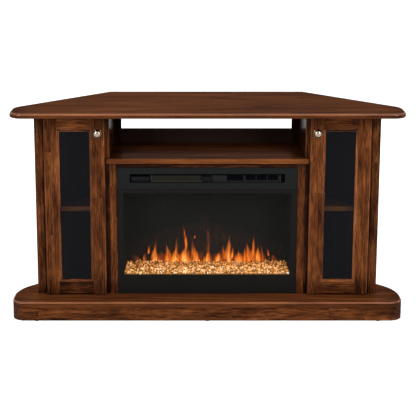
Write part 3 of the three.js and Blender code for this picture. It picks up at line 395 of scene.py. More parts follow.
# %% Darken the ends and colour the stain
END_REACH_MM, END_TONE = 80, 0.15
EDGE_REACH_MM, EDGE_TONE = 7, 0.05
STAIN_STOPS = [
    (0.00, "#180a05"),
    (0.22, "#30170a"),
    (0.50, "#522c15"),
    (0.78, "#734222"),
    (1.00, "#8f5a32"),
]
apart = add(wood, "ShaderNodeVectorMath", [board.outputs["Middle"]], operation="ABSOLUTE")
split = add(wood, "ShaderNodeSeparateXYZ", {"Vector": apart})
for axis, half, reach_mm, weight in (
    ("X", "Half Length", END_REACH_MM, END_TONE),
    ("Y", "Half Width", EDGE_REACH_MM, EDGE_TONE),
):
    inward = add(wood, "ShaderNodeMath", [board.outputs[half], split.outputs[axis]],
                 operation="SUBTRACT")
    near = add(wood, "ShaderNodeMapRange", {
        "Value": inward,
        "From Min": 0.0,
        "From Max": reach_mm * MM,
        "To Min": 1.0,
        "To Max": 0.0,
    }, interpolation_type="SMOOTHSTEP")
    uneven = add(wood, "ShaderNodeMath", [near, marks_of["cloud"]], operation="MULTIPLY")
    stain = add(wood, "ShaderNodeMath", [uneven, -2 * weight, stain], operation="MULTIPLY_ADD")
colour = add(wood, "ShaderNodeValToRGB", {"Fac": stain}, stops=STAIN_STOPS)
relief = add(wood, "ShaderNodeMath", [marks_of["fibre"], pores], operation="SUBTRACT")
add(wood, "NodeGroupOutput", {"Colour": colour, "Height": relief})
print("figure nodes:", len(wood.nodes))

# %% [markdown]
# ## A board's material
# No two boards share their figure, so each gets its own copy of the wood, turned to its own axes
# and moved to another part of the tree. The wiped stain is dull. The lacquer is a thin coat over
# it, sprayed and rubbed to satin, which gives wood its depth and soft gloss. Two numbers on each
# face say how far its stain's tone is raised or lowered to paint light and shade, and how much
# lacquer it gets.

# %% Lacquered wood
X, Y, Z = Vector((1, 0, 0)), Vector((0, 1, 0)), Vector((0, 0, 1))
LACQUER_ROUGHNESS, LACQUER_IOR = 0.24, 1.5
PORE_DEPTH_MM = 0.12
LOT_SPREAD_M = 9


def hardwood(name, node, grain, across, tone, lot, stave, stretch, strength):
    """Lacquered wood for one board, with its grain and its width along two directions."""
    material, tree, shader = new_material(name, **{
        "Roughness": 0.6,
        "IOR": LACQUER_IOR,
        "Specular IOR Level": 0.0,
        "Coat Roughness": LACQUER_ROUGHNESS,
        "Coat IOR": LACQUER_IOR,
    })
    turned = Matrix((grain, across, grain.cross(across)))
    corners = [turned @ vertex.co for vertex in nodes[node].data.vertices]
    least = Vector([min(corner[axis] for corner in corners) for axis in range(3)])
    most = Vector([max(corner[axis] for corner in corners) for axis in range(3)])
    chance = random.Random(lot)
    place = add(tree, "ShaderNodeTexCoord").outputs["Object"]
    where = add(tree, "ShaderNodeMapping", {
        "Vector": place,
        "Rotation": turned.to_euler("XYZ"),
        "Location": [chance.uniform(-LOT_SPREAD_M, LOT_SPREAD_M) for axis in range(3)],
    }, vector_type="POINT")
    middle = add(tree, "ShaderNodeMapping", {
        "Vector": place,
        "Rotation": turned.to_euler("XYZ"),
        "Location": -(least + most) / 2,
    }, vector_type="POINT")
    widened = add(tree, "ShaderNodeVectorMath", [
        where,
        (1 / stretch[0], 1 / stretch[1], 1 / stretch[1]),
    ], operation="MULTIPLY")
    stave_length, stave_width, stave_tone = stave
    lift = add(tree, "ShaderNodeAttribute", attribute_name="painted_light_and_shade")
    figure = add(tree, "ShaderNodeGroup", {
        "Place": widened,
        "Middle": middle,
        "Half Length": (most.x - least.x) / 2,
        "Half Width": (most.y - least.y) / 2,
        "Stave Length": stave_length * MM / stretch[0],
        "Stave Width": stave_width * MM / stretch[1],
        "Stave Tone": stave_tone,
        "Figure": strength,
        "Tone": add(tree, "ShaderNodeMath", [lift.outputs["Fac"], tone]),
    }, node_tree=wood)
    lacquer = add(tree, "ShaderNodeAttribute", attribute_name="lacquer_share")
    bump = add(tree, "ShaderNodeBump", {
        "Height": figure.outputs["Height"],
        "Distance": PORE_DEPTH_MM * MM,
        "Strength": 0.5,
    })
    feed(shader, {
        "Base Color": figure,
        "Coat Weight": lacquer.outputs["Fac"],
        "Normal": bump,
    })
    return material


print("lacquer roughness:", LACQUER_ROUGHNESS)

# %% [markdown]
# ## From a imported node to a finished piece
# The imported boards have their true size, but their facets are loose. A subdivision would swell
# them, so a copy is merged, its flat faces are joined, and sharp corners are eased as a sanding
# block leaves them. Weighted normals keep wide faces flat beside a smooth rounding.

# %% Helpers for pieces
SMOOTH_TO = math.radians(34)
FLAT_WITHIN = math.radians(0.5)
EASE_FROM = math.radians(60)
MERGE_MM = 0.01
EASE_MM = 0.8


def merged_copy(node):
    """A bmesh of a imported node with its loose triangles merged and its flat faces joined."""
    bm = bmesh.new()
    bm.from_mesh(nodes[node].data)
    bmesh.ops.remove_doubles(bm, verts=bm.verts, dist=MERGE_MM * MM)
    bmesh.ops.dissolve_limit(bm, verts=bm.verts, edges=bm.edges, angle_limit=FLAT_WITHIN)
    return bm


def ease_corners(bm):
    sharp = [edge for edge in bm.edges
             if edge.is_manifold and edge.calc_face_angle(0) > EASE_FROM]
    bmesh.ops.bevel(bm, geom=sharp, offset=EASE_MM * MM, segments=2, affect="EDGES",
                    profile=0.5, material=-1, clamp_overlap=True)


def to_object(bm, name, material, body, slot, smooth):
    """Makes a bmesh an object that has a finish and rides on a body."""
    mesh = bpy.data.meshes.new(name)
    bm.to_mesh(mesh)
    bm.free()
    mesh.polygons.foreach_set("use_smooth", [smooth] * len(mesh.polygons))
    obj = bpy.data.objects.new(name, mesh)
    bpy.context.scene.collection.objects.link(obj)
    finish_with(obj, material)
    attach(obj, body)
    return obj


def to_piece(bm, name, material, body, slot, *stands_for, marks=None):
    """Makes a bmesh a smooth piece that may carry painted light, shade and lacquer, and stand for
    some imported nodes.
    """
    obj = to_object(bm, name, material, body, slot, smooth=True)
    obj.data.set_sharp_from_angle(angle=SMOOTH_TO)
    if marks:
        pairs = [marks(face) for face in obj.data.polygons]
        for mark, values in zip(("painted_light_and_shade", "lacquer_share"), zip(*pairs)):
            obj.data.attributes.new(mark, "FLOAT", "FACE").data.foreach_set("value", values)
    weighted = obj.modifiers.new("even_shading", "WEIGHTED_NORMAL")
    weighted.keep_sharp = True
    if stands_for:
        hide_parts(*stands_for)
    return obj


print("corners eased by mm:", EASE_MM)

# %% [markdown]
# ## Boards
# Grain runs along a board's length: rails and shelves lie, posts and stiles stand, and the
# plinth's sides run slanting. No two boards took the stain alike. Wide tops are calm, since they
# are cut from long clear staves, while narrow members show their figure strongly.

# %% List the boards
RIGHT_SLANT = Vector((1, -1, 0)).normalized()
LEFT_SLANT = Vector((1, 1, 0)).normalized()
# A stave is (length mm, width mm, how far the tones of two staves differ).
STAVE, PLINTH_STAVE = (300, 42, 0.10), (340, 50, 0.14)
PANEL_STAVE, LONG_STAVE = (1400, 95, 0.06), (4000, 2000, 0.0)
# A figure is (stretched along the grain, stretched across, strength).
CALM, EVEN, LIVELY = ((4.0, 2.4), 0.55), ((2.2, 1.5), 0.75), ((1.0, 1.0), 1.08)
BOARDS = {
    # node: (grain, across, tone, stave, figure, eased)
    "top_board": (X, Y, 0.46, LONG_STAVE, CALM, False),
    "plinth_deck": (X, Y, 0.47, LONG_STAVE, CALM, False),
    "plinth_front": (X, Z, 0.48, PLINTH_STAVE, LIVELY, False),
    "plinth_side_left": (LEFT_SLANT, Z, 0.44, PLINTH_STAVE, LIVELY, False),
    "plinth_side_right": (RIGHT_SLANT, Z, 0.44, PLINTH_STAVE, LIVELY, False),
    "plinth_back": (X, Z, 0.36, STAVE, LIVELY, False),
    "corner_post_left": (Z, X, 0.42, STAVE, LIVELY, True),
    "corner_post_right": (Z, X, 0.43, STAVE, LIVELY, True),
    "side_panel_left": (Z, LEFT_SLANT, 0.44, PANEL_STAVE, EVEN, True),
    "side_panel_right": (Z, RIGHT_SLANT, 0.44, PANEL_STAVE, EVEN, True),
    "divider_left": (Z, Y, 0.46, STAVE, LIVELY, True),
    "divider_right": (Z, Y, 0.46, STAVE, LIVELY, True),
    "media_shelf": (X, Y, 0.42, LONG_STAVE, CALM, True),
    # The header's low tone is painted shade, below the media shelf's nose.
    "insert_header_rail": (X, Z, 0.18, STAVE, LIVELY, False),
    "insert_jamb_left": (Z, X, 0.45, STAVE, LIVELY, False),
    "insert_jamb_right": (Z, X, 0.44, STAVE, LIVELY, False),
    "cupboard_shelf_left": (X, Y, 0.50, STAVE, LIVELY, True),
    "cupboard_shelf_right": (X, Y, 0.50, STAVE, LIVELY, True),
    "left_door_hinge_stile": (Z, X, 0.48, STAVE, LIVELY, False),
    "left_door_latch_stile": (Z, X, 0.45, STAVE, LIVELY, False),
    "left_door_top_rail": (X, Z, 0.62, STAVE, LIVELY, False),
    "left_door_bottom_rail": (X, Z, 0.31, STAVE, LIVELY, False),
    "right_door_hinge_stile": (Z, X, 0.53, STAVE, LIVELY, False),
    "right_door_latch_stile": (Z, X, 0.50, STAVE, LIVELY, False),
    "right_door_top_rail": (X, Z, 0.48, STAVE, LIVELY, False),
    "right_door_bottom_rail": (X, Z, 0.53, STAVE, LIVELY, False),
}
print("boards:", len(BOARDS))

# %% [markdown]
# ## Painted light and shade, and where lacquer stays
# The stain's tone is raised or lowered face by face to paint light and shade: painted shadows
# under the top, beside the doors and under the media shelf, painted shade on inner faces and in
# the bay, painted highlights and shade on the doors' bevels, painted light on shelf fronts, and a
# painted highlight on upward roundings, where the stain is also rubbed thin. Lacquer is left
# fuller on rounded edges, which catch the light as thin lines. Painting this by hand would tie it
# to one mesh, so a rule reads where a face lies and how it is turned, and writes both numbers on
# it. A few faces are cut first, so that a mark can end in the middle of a board.

# %% Name the marks
FLAT_LACQUER, EDGE_LACQUER, TOP_EDGE_LACQUER = 0.03, 0.08, 0.55
BAY_LACQUER, SHELF_LACQUER, BEVEL_LACQUER = 0.38, 0.10, 0.12
# How far each painted highlight or painted shade raises the stain's tone, where below 0 is darker.
# Painted highlight on the upper roundings of the top and the deck, partly stain rubbed thin.
ROUNDING_HIGHLIGHT = 0.34
# The doors' bevels: a painted highlight where they face up or sideways, painted shade where they
# face down.
BEVEL_UP_HIGHLIGHT, BEVEL_SIDE_HIGHLIGHT, BEVEL_DOWN_SHADE = 0.30, 0.14, -0.25
# Painted light on the front edges of the media shelf and of the cupboard shelves behind the glass.
BAY_SHELF_EDGE_LIGHT, CUPBOARD_SHELF_EDGE_LIGHT = 0.28, 0.65
# Painted shade on inner faces, on the bay's walls and on the dividers' fronts below the shelf, and a
# painted shadow under the top's overhang.
INNER_SHADE, UNDER_TOP_SHADOW, DIVIDER_SHADE = -0.40, -0.32, -0.26
# Painted shadows under the media shelf's nose on the header, and on the posts beside the doors.
HEADER_SHADOW, BESIDE_DOOR_SHADOW = -0.24, -0.24
# Where a painted shadow or shade ends inside a board.
HEADER_SHADOW_MM, UNDER_TOP_SHADOW_MM, BESIDE_DOOR_SHADOW_MM = 5, 6, 7
bay_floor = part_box("media_shelf")[1].z
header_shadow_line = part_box("insert_header_rail")[1].z - HEADER_SHADOW_MM * MM
door_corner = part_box("right_door_hinge_stile")[1]
under_top_shadow_line = door_corner.z - UNDER_TOP_SHADOW_MM * MM
beside_door_shadow_line = door_corner.x + BESIDE_DOOR_SHADOW_MM * MM
CUTS = {
    # node: [(where the cut crosses X or Z, along which axis)]
    "divider_left": [(bay_floor, Z)],
    "divider_right": [(bay_floor, Z)],
    "insert_header_rail": [(header_shadow_line, Z)],
    "corner_post_left": [(under_top_shadow_line, Z), (-beside_door_shadow_line, X)],
    "corner_post_right": [(under_top_shadow_line, Z), (beside_door_shadow_line, X)],
}
for side in ("left", "right"):
    for part in ("hinge_stile", "latch_stile", "top_rail"):
        CUTS[side + "_door_" + part] = [(under_top_shadow_line, Z)]
print("boards with a cut face:", len(CUTS))

# %% Mark the faces
FACING = 0.9  # a face looks along an axis where its normal has this share of it
HALF_FACING = 0.5  # a slanted panel's inner face looks half forwards
IN_PLANE = 0.995  # below this a face is part of a rounding or bevel
SLOPED, ROUNDED_UP = 0.3, 0.15


def marks_for(node, axes):
    """Returns a function that gives a face its painted light or shade, on the stain's tone, and its
    lacquer.
    """
    in_door, in_divider = "_door_" in node, node.startswith("divider")

    def marks(face):
        normal, middle = face.normal, face.center
        to_front, to_side = normal.y < -FACING, abs(normal.x) > FACING
        if max(abs(normal.dot(axis)) for axis in axes) < IN_PLANE:
            # Painted highlight on the top's and the deck's upward roundings.
            if node in ("top_board", "plinth_deck") and normal.z > ROUNDED_UP:
                return ROUNDING_HIGHLIGHT, TOP_EDGE_LACQUER
            # Painted highlight on the doors' bevels facing up and sideways, painted shade on those
            # facing down.
            if in_door and normal.z > SLOPED:
                return BEVEL_UP_HIGHLIGHT, BEVEL_LACQUER
            if in_door and normal.z < -SLOPED:
                return BEVEL_DOWN_SHADE, BEVEL_LACQUER
            if in_door:
                return BEVEL_SIDE_HIGHLIGHT, BEVEL_LACQUER
            return 0.0, EDGE_LACQUER
        # Painted shade on the doors' other faces and on the side panels' inner faces.
        if in_door and not to_front:
            return INNER_SHADE, 0.0
        if node.startswith("side_panel") and normal.y < -HALF_FACING:
            return INNER_SHADE, 0.0
        # Painted shadows: under the media shelf's nose on the header, under the top's overhang, and
        # on the posts beside the doors.
        if node == "insert_header_rail" and middle.z > header_shadow_line:
            return HEADER_SHADOW, 0.0
        if to_front and middle.z > under_top_shadow_line and (in_door or "post" in node):
            return UNDER_TOP_SHADOW, 0.0
        if to_front and "post" in node and abs(middle.x) < beside_door_shadow_line:
            return BESIDE_DOOR_SHADOW, 0.0
        # Painted shade on the bay's walls and on the dividers' fronts below the shelf.
        if in_divider and to_side and middle.z > bay_floor:
            return DIVIDER_SHADE, BAY_LACQUER
        if in_divider and to_front and middle.z < bay_floor:
            return DIVIDER_SHADE, FLAT_LACQUER
        # Painted light on the shelves' front edges.
        if node == "media_shelf":
            return (BAY_SHELF_EDGE_LIGHT, FLAT_LACQUER) if to_front else (0.0, SHELF_LACQUER)
        if "shelf" in node and to_front:
            return CUPBOARD_SHELF_EDGE_LIGHT, FLAT_LACQUER
        return 0.0, FLAT_LACQUER
    return marks


print("lacquer on flats and edges:", FLAT_LACQUER, EDGE_LACQUER, TOP_EDGE_LACQUER)

# %% Dress the boards
FIRST_LOT = 100
subparts = {entry["node"]: entry for entry in frame["record"]["subparts"]}
for number, (node, (grain, across, tone, stave, figure, eased)) in enumerate(BOARDS.items()):
    finish = hardwood("stained_hardwood_" + node, node, grain, across, tone, FIRST_LOT + number,
                    stave, *figure)
    bm = merged_copy(node)
    for place, axis in CUTS.get(node, []):
        bmesh.ops.bisect_plane(bm, geom=bm.verts[:] + bm.edges[:] + bm.faces[:],
                               plane_co=place * axis, plane_no=axis)
    if eased:
        ease_corners(bm)
    to_piece(bm, node + "_dressed", finish, nodes[node]["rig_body"],
             subparts[node]["material_slot"], node,
             marks=marks_for(node, (grain, across, grain.cross(across))))
print("dressed boards:", len(BOARDS))

# %% [markdown]
# ## Plain finishes
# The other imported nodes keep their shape. Paint, plate and plastic look plain, but none is one
# flat colour: paint has an orange peel, plating has clouds, and plastic has the grain of its
# mould. They differ only in how coarse and how deep that grain is, so one recipe serves them all.

# %% A speckled finish
SPECKS_FROM, SPECKS_TO = 0.3, 0.7


def speckled(name, dark, light, grain_mm, bump_mm, roughness, specular=0.5, metallic=0.0):
    """A finish whose colour and relief vary on one small scale, as paint and mouldings do."""
    material, tree, shader = new_material(name, **{
        "Roughness": roughness,
        "Specular IOR Level": specular,
        "Metallic": metallic,
    })
    place = add(tree, "ShaderNodeTexCoord").outputs["Object"]
    specks = add(tree, "ShaderNodeTexNoise", {
        "Vector": place,
        "Scale": 1 / (grain_mm * MM),
        "Detail": 3.0,
    })
    colour = add(tree, "ShaderNodeValToRGB", {"Fac": specks}, stops=[
        (SPECKS_FROM, dark),
        (SPECKS_TO, light),
    ])
    bump = add(tree, "ShaderNodeBump", {
        "Height": specks,
        "Distance": bump_mm * MM,
        "Strength": 0.5,
    })
    feed(shader, {"Base Color": colour, "Normal": bump})
    return material


print("specks run from and to:", SPECKS_FROM, SPECKS_TO)

# %% Mix the finishes
# Powder coat is sprayed on dry and baked: an even, dull skin with a fine orange peel.
powder_coat = speckled("black_powder_coat", "#121313", "#161717", 1.6, 0.08, 0.5, 0.04)
# The trim's powder comes from another batch, a little warmer and duller.
trim_coat = speckled("warm_black_powder_coat", "#121110", "#151412", 1.6, 0.08, 0.55, 0.03)
# Heat-proof paint, sprayed thin, is quite flat and gives the flame a dead background.
firebox_black = speckled("flat_black_paint", "#121210", "#181816", 3.0, 0.05, 0.85, 0.05)
# Black oxide is a dip that darkens the steel's own skin and keeps a faint sheen.
dark_sheet = speckled("black_oxide_steel", "#17181a", "#202224", 5.0, 0.03, 0.5, 0.1)
# Zinc is plated on in a bath: a bluish grey metal with broad, soft clouds.
zinc_sheet = speckled("zinc_plated_steel", "#6e7272", "#8c9090", 9.0, 0.02, 0.42, metallic=1.0)
# Aluminium rolled bright scatters the lamp light like a poor mirror.
bright_aluminium = speckled("rolled_aluminium", "#a8a8a4", "#c4c4c0", 6.0, 0.02, 0.25,
                            metallic=1.0)
# ABS from a finely grained mould has an even satin.
moulded_black = speckled("moulded_abs", "#0f0e0d", "#141312", 1.2, 0.05, 0.5, 0.09)
# Black plastic from a matt mould, made darker than the other mouldings as painted shade inside the
# slot.
slot_shade_black = speckled("matt_black_plastic_painted_shade", "#030304", "#050506", 1.2, 0.05, 0.7, 0.03)
# Plastic from a polished mould stays nearly pure black from the front.
key_black = speckled("polished_black_plastic", "#020204", "#040408", 1.2, 0.01, 0.3, 0.01)
# Moulded nylon is warm grey and a little waxy.
nylon_grey = speckled("moulded_nylon", "#26221f", "#2f2a26", 1.5, 0.05, 0.6, 0.3)
# A circuit board is screened with lacquer: green, smooth and a little glossy.
circuit_green = speckled("lacquered_circuit_board", "#163a22", "#245233", 4.0, 0.02, 0.4)
# Hardboard is pressed from wet fibres and stained: dull, with a fine mottle. Its very dark brown is
# partly painted shade, for the back of the bay and the cupboards.
shaded_hardboard = speckled("brown_hardboard_painted_shade", "#190d08", "#26140d", 2.4, 0.08, 0.75, 0.1)
# Fine crushed glass lies under the chips and shows between them, coarse and dull.
amber_fill = speckled("crushed_amber_glass_fill", "#8a5520", "#d09a4c", 5.0, 0.6, 0.4, 0.3)
print("materials so far:", len(bpy.data.materials))

# %% [markdown]
# ## Glass
# The doors have smoked glass, tinted in the melt, and the insert has clear toughened glass. Both
# are floated flat and smooth. A thin pane hardly bends the view, so instead of refraction it is
# a dark, nearly clear surface. It mirrors a few per cent of the white cove, which a path tracer
# turns into white specks, so that share is given off evenly, by the glass's own Fresnel law.

# %% Tint the glass
GLASS_IOR = 1.5


def pane(name, tint, glow, alpha, cove_share):
    """Glass that hides what is behind it by alpha and shows a share of the mirrored cove."""
    material, tree, shader = new_material(name, **{
        "Base Color": linear(tint),
        "Specular IOR Level": 0.0,
        "Emission Color": linear(glow),
        "Alpha": alpha,
    })
    mirrored = add(tree, "ShaderNodeMath", [
        add(tree, "ShaderNodeFresnel", {"IOR": GLASS_IOR}),
        cove_share,
    ], operation="MULTIPLY")
    feed(shader, {"Emission Strength": mirrored})
    return material


smoked_glass = pane("smoked_glass", "#08080b", "#e6ecf4", alpha=0.38, cove_share=0.36)
clear_glass = pane("clear_tempered_glass", "#0c0c0b", "#f4f4f0", alpha=0.14, cove_share=0.50)
print("glass:", smoked_glass.name, clear_glass.name)

# %% Coat the other nodes
FINISHES = {
    shaded_hardboard: ["back_panel"],
    trim_coat: ["insert_trim"],
    powder_coat: ["insert_fascia"],
    clear_glass: ["insert_glass"],
    smoked_glass: ["left_door_glass", "right_door_glass"],
    zinc_sheet: ["insert_housing", "rotor_motor"],
    dark_sheet: ["heater_duct", "heater_element"]
    + [node for node in nodes if "_door_pivot_" in node],
    firebox_black: ["chamber_liner", "ember_tray", "flame_screen", "blower_wheel"],
    bright_aluminium: ["flame_rotor"],
    circuit_green: ["led_board"],
    slot_shade_black: ["outlet_grille"],
    moulded_black: ["control_panel", "cord_inlet"],
    key_black: ["power_button", "flame_button", "heat_button"],
    nylon_grey: [node for node in nodes if node.startswith("glide")],
}
for finish, names in FINISHES.items():
    for node in names:
        finish_with(nodes[node], finish)
print("nodes with a plain finish:", sum(len(names) for names in FINISHES.values()))

# %% [markdown]
# ## Outlet slot
# Warm air leaves through the left half of the slot, where a woven wire mesh hangs in a thin
# frame. A picture would look flat from the side, and woven wires would cost too many faces. So
# the wireframe operator turns a flat grid into a lattice.

# %% Hang the mesh
grille_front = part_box("outlet_grille")[0].y / MM
MESH_X, MESH_Z = (-195, -23), (483, 503)
MESH_PROUD_MM = 1.5
WIRE_PITCH_MM, WIRE_MM = 4.0, 1.5  # twice the real pitch, because the real one is below a pixel
MESH_FRAME = [((-198, -4, 481), (-17, 0, 484.5)), ((-198, -4, 483), (-195, 0, 509))]


def block(bm, low, high):
    """Adds a box between two corners in millimetres, with y counted from the grille's front."""
    low, high = (Vector((x, y + grille_front, z)) * MM for x, y, z in (low, high))
    made = bmesh.ops.create_cube(bm, size=1)
    bmesh.ops.scale(bm, verts=made["verts"], vec=high - low)
    bmesh.ops.translate(bm, verts=made["verts"], vec=(low + high) / 2)


# Drawn wire, blackened by oxide, is dull and a little brown.
wire_steel = speckled("oxidised_wire", "#211f19", "#2d2a22", 2.0, 0.02, 0.6, 0.1)
bm = bmesh.new()
mesh_width, mesh_height = MESH_X[1] - MESH_X[0], MESH_Z[1] - MESH_Z[0]
net = bmesh.ops.create_grid(bm, x_segments=round(mesh_width / WIRE_PITCH_MM),
                            y_segments=round(mesh_height / WIRE_PITCH_MM), size=0.5)
bmesh.ops.scale(bm, verts=net["verts"], vec=(mesh_width * MM, mesh_height * MM, 1))
bmesh.ops.rotate(bm, verts=net["verts"], matrix=Matrix.Rotation(math.radians(90), 3, "X"))
bmesh.ops.translate(bm, verts=net["verts"], vec=Vector((
    sum(MESH_X) / 2, grille_front - MESH_PROUD_MM, sum(MESH_Z) / 2)) * MM)
bmesh.ops.wireframe(bm, faces=bm.faces[:], thickness=WIRE_MM * MM, use_replace=True,
                    use_boundary=True, use_even_offset=True)
for low, high in MESH_FRAME:
    block(bm, low, high)
bmesh.ops.recalc_face_normals(bm, faces=bm.faces)
to_piece(bm, "outlet_mesh", wire_steel, "cabinet", "black_steel")

# %% [markdown]
# ## Around the mesh
# The round ends of the blower's shroud show beside the mesh: cones with two equal ends, squashed.
# A foam gasket seals the slot; along its top and right end it is a near-black strip that paints
# the slot's shade. A steel strip ends the control panel, and the display has a dark lens. These
# are straight bars, for which a cube between two corners is enough.

# %% Fit the small parts
SHROUD_ENDS_MM = ((-266, -203), (-20, 16))
SHROUD_RADIUS_MM, SHROUD_MIDDLE_MM = 7.5, 488
SHROUD_SQUASH = (1, 0.6, 1.5)
SLOT_SHADE_GASKET = [((-272, -5, 504.5), (272, 0, 509.6)), ((258, -5, 478.5), (272, 0, 509.6))]
EDGE_STRIP = [((254.5, -5, 479), (257, 0, 504.4))]
LENS = [((68.4, -0.4, 484), (126.6, 1, 503))]
# The shroud is moulded smooth in blue-black ABS, so its round ends take a soft highlight.
shroud_plastic = speckled("blue_black_plastic", "#0a0a0d", "#0e0e12", 3.0, 0.02, 0.5, 0.05)
# Foam is cut from a sheet; nearly black, it paints the shade along the slot's top and right end.
shade_foam = speckled("shade_black_foam", "#040404", "#070707", 1.5, 0.2, 0.95, 0.0)
bm = bmesh.new()
for left, right in SHROUD_ENDS_MM:
    made = bmesh.ops.create_cone(bm, cap_ends=True, segments=32, radius1=SHROUD_RADIUS_MM * MM,
                                 radius2=SHROUD_RADIUS_MM * MM, depth=(right - left) * MM)
    bmesh.ops.rotate(bm, verts=made["verts"], matrix=Matrix.Rotation(math.radians(90), 3, "Y"))
    bmesh.ops.scale(bm, verts=made["verts"], vec=SHROUD_SQUASH)
    bmesh.ops.translate(bm, verts=made["verts"], vec=Vector((
        (left + right) / 2, grille_front, SHROUD_MIDDLE_MM)) * MM)
to_piece(bm, "blower_shroud_ends", shroud_plastic, "cabinet", "black_plastic")
for name, material, slot, bars in (
    ("slot_shade_gasket", shade_foam, "matte_black", SLOT_SHADE_GASKET),
    ("panel_edge_strip", wire_steel, "black_plastic", EDGE_STRIP),
    ("display_lens", key_black, "black_plastic", LENS),
):
    bm = bmesh.new()
    for low, high in bars:
        block(bm, low, high)
    to_piece(bm, name, material, "cabinet", slot)
print("lens width mm:", round(LENS[0][1][0] - LENS[0][0][0], 1))

# %% [markdown]
# ## Brads on the back
# The hardboard back is fixed with small brads, driven by hand a few millimetres inside its edge.
# A bump would vanish from the side, so each head is a short tapered cone, a little proud.

# %% Drive the brads
BRAD_RADIUS_MM, BRAD_TAPER, BRAD_HEAD_MM, BRAD_PROUD_MM = 2.0, 0.7, 0.8, 0.3
BRAD_INSET_MM, BRAD_PITCH_MM = 10, 85
panel_low, panel_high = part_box("back_panel")
rows = [panel_low.z + BRAD_INSET_MM * MM, panel_high.z - BRAD_INSET_MM * MM]
half_span = panel_high.x - BRAD_INSET_MM * MM
steps = round(2 * half_span / (BRAD_PITCH_MM * MM))
spots = [(half_span * (2 * step / steps - 1), row) for row in rows for step in range(steps + 1)]
bm = bmesh.new()
for x, z in spots:
    made = bmesh.ops.create_cone(bm, cap_ends=True, segments=16, radius1=BRAD_RADIUS_MM * MM,
                                 radius2=BRAD_TAPER * BRAD_RADIUS_MM * MM,
                                 depth=BRAD_HEAD_MM * MM)
    bmesh.ops.rotate(bm, verts=made["verts"], matrix=Matrix.Rotation(math.radians(-90), 3, "X"))
    bmesh.ops.translate(bm, verts=made["verts"],
                        vec=(x, panel_high.y + BRAD_PROUD_MM * MM, z))
bmesh.ops.recalc_face_normals(bm, faces=bm.faces)
to_piece(bm, "back_brads", zinc_sheet, "cabinet", "zinc_steel")
print("brads:", len(spots))

# %% [markdown]
# ## Knobs
# Each door has a small cast knob, antiqued: the brass is darkened in a bath and rubbed bright
# again on its rim and dome, so the hollows stay nearly black. It is round, so half its outline
# is spun once about the screw, which needs no sculpting. The rubbing sits on the same points.

# %% Mix the antiqued brass
KNOB_SPECK_MM, KNOB_SPECK_SHARE = 2.2, 0.35
knob_metal, knob_tree, knob_shader = new_material("antiqued_cast_brass", **{
    "Metallic": 1.0,
    "Roughness": 0.17,
})
knob_age = add(knob_tree, "ShaderNodeAttribute", attribute_name="rubbed")
knob_specks = add(knob_tree, "ShaderNodeTexNoise", {
    "Vector": add(knob_tree, "ShaderNodeTexCoord").outputs["Object"],
    "Scale": 1 / (KNOB_SPECK_MM * MM),
    "Detail": 3.0,
})
knob_mix = add(knob_tree, "ShaderNodeMath", [
    knob_specks,
    KNOB_SPECK_SHARE,
    knob_age.outputs["Fac"],
], operation="MULTIPLY_ADD")
knob_colour = add(knob_tree, "ShaderNodeValToRGB", {"Fac": knob_mix}, stops=[
    (0.20, "#0c0805"),
    (0.45, "#2c2118"),
    (0.75, "#4a3c2e"),
    (1.00, "#a99a86"),
])
feed(knob_shader, {"Base Color": knob_colour})
print("knob metal nodes:", len(knob_tree.nodes))

# %% Turn the knobs
KNOB_OUTLINE_MM = [
    # (radius, height above the door)
    (0, 0), (11.2, 0), (11.8, 0.8), (11.0, 2.0), (7.0, 3.0), (5.2, 4.4), (4.8, 7.0), (5.4, 10.2),
    (8.4, 12.6), (13.4, 14.6), (15.1, 15.7), (15.5, 16.9), (15.1, 18.1), (14.2, 18.7),
    (13.3, 18.4), (12.8, 18.9), (11.9, 20.5), (9.9, 22.4), (7.2, 23.8), (3.8, 24.7), (0, 25.0),
]
KNOB_STEPS = 40
DOME_FROM_MM, RIM_FROM_MM, RIM_TO_MM = 19.5, 15, 18.3
DOME_RUBBED, RIM_RUBBED, HOLLOW_RUBBED = 0.72, 0.95, 0.10


def rubbed_at(height):
    if height > DOME_FROM_MM:
        return DOME_RUBBED
    return RIM_RUBBED if RIM_FROM_MM < height < RIM_TO_MM else HOLLOW_RUBBED


for side in ("left", "right"):
    node = side + "_door_knob"
    low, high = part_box(node)
    centre = (low + high) / 2
    bm = bmesh.new()
    rubbed = bm.verts.layers.float.new("rubbed")
    chain = [bm.verts.new((centre.x + radius * MM, high.y - height * MM, centre.z))
             for radius, height in KNOB_OUTLINE_MM]
    for (radius, height), vertex in zip(KNOB_OUTLINE_MM, chain):
        vertex[rubbed] = rubbed_at(height)
    edges = [bm.edges.new(pair) for pair in zip(chain, chain[1:])]
    bmesh.ops.spin(bm, geom=chain + edges, cent=centre, axis=Y, angle=math.tau,
                   steps=KNOB_STEPS, use_merge=True, use_duplicate=False)
    bmesh.ops.remove_doubles(bm, verts=bm.verts, dist=MERGE_MM * MM)
    bmesh.ops.recalc_face_normals(bm, faces=bm.faces)
    to_piece(bm, side + "_knob_dressed", knob_metal, nodes[node]["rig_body"], "aged_bronze", node)

# %% [markdown]
# ## Bed of crushed glass
# The bed under the flame is loose crushed glass, lit from below by amber lamps. Most of it is
# never seen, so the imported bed, a little lowered, is a dull fill, and loose chips cover it.

# %% Lower the fill
FILL_SHARE = 0.72
FRONT_STRIP_MM = 3
bed_low, bed_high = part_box("ember_bed")
bed_front_top = max(vertex.co.z for vertex in nodes["ember_bed"].data.vertices
                    if vertex.co.y < bed_low.y + FRONT_STRIP_MM * MM)
bm = merged_copy("ember_bed")
bmesh.ops.scale(bm, verts=bm.verts, vec=(1, 1, FILL_SHARE),
                space=Matrix.Translation((0, 0, -bed_low.z)))
to_piece(bm, "glass_fill", amber_fill, "cabinet", "amber_glass", "ember_bed")
print("bed height mm, front and back:", round((bed_front_top - bed_low.z) / MM, 1),
      round((bed_high.z - bed_low.z) / MM, 1))

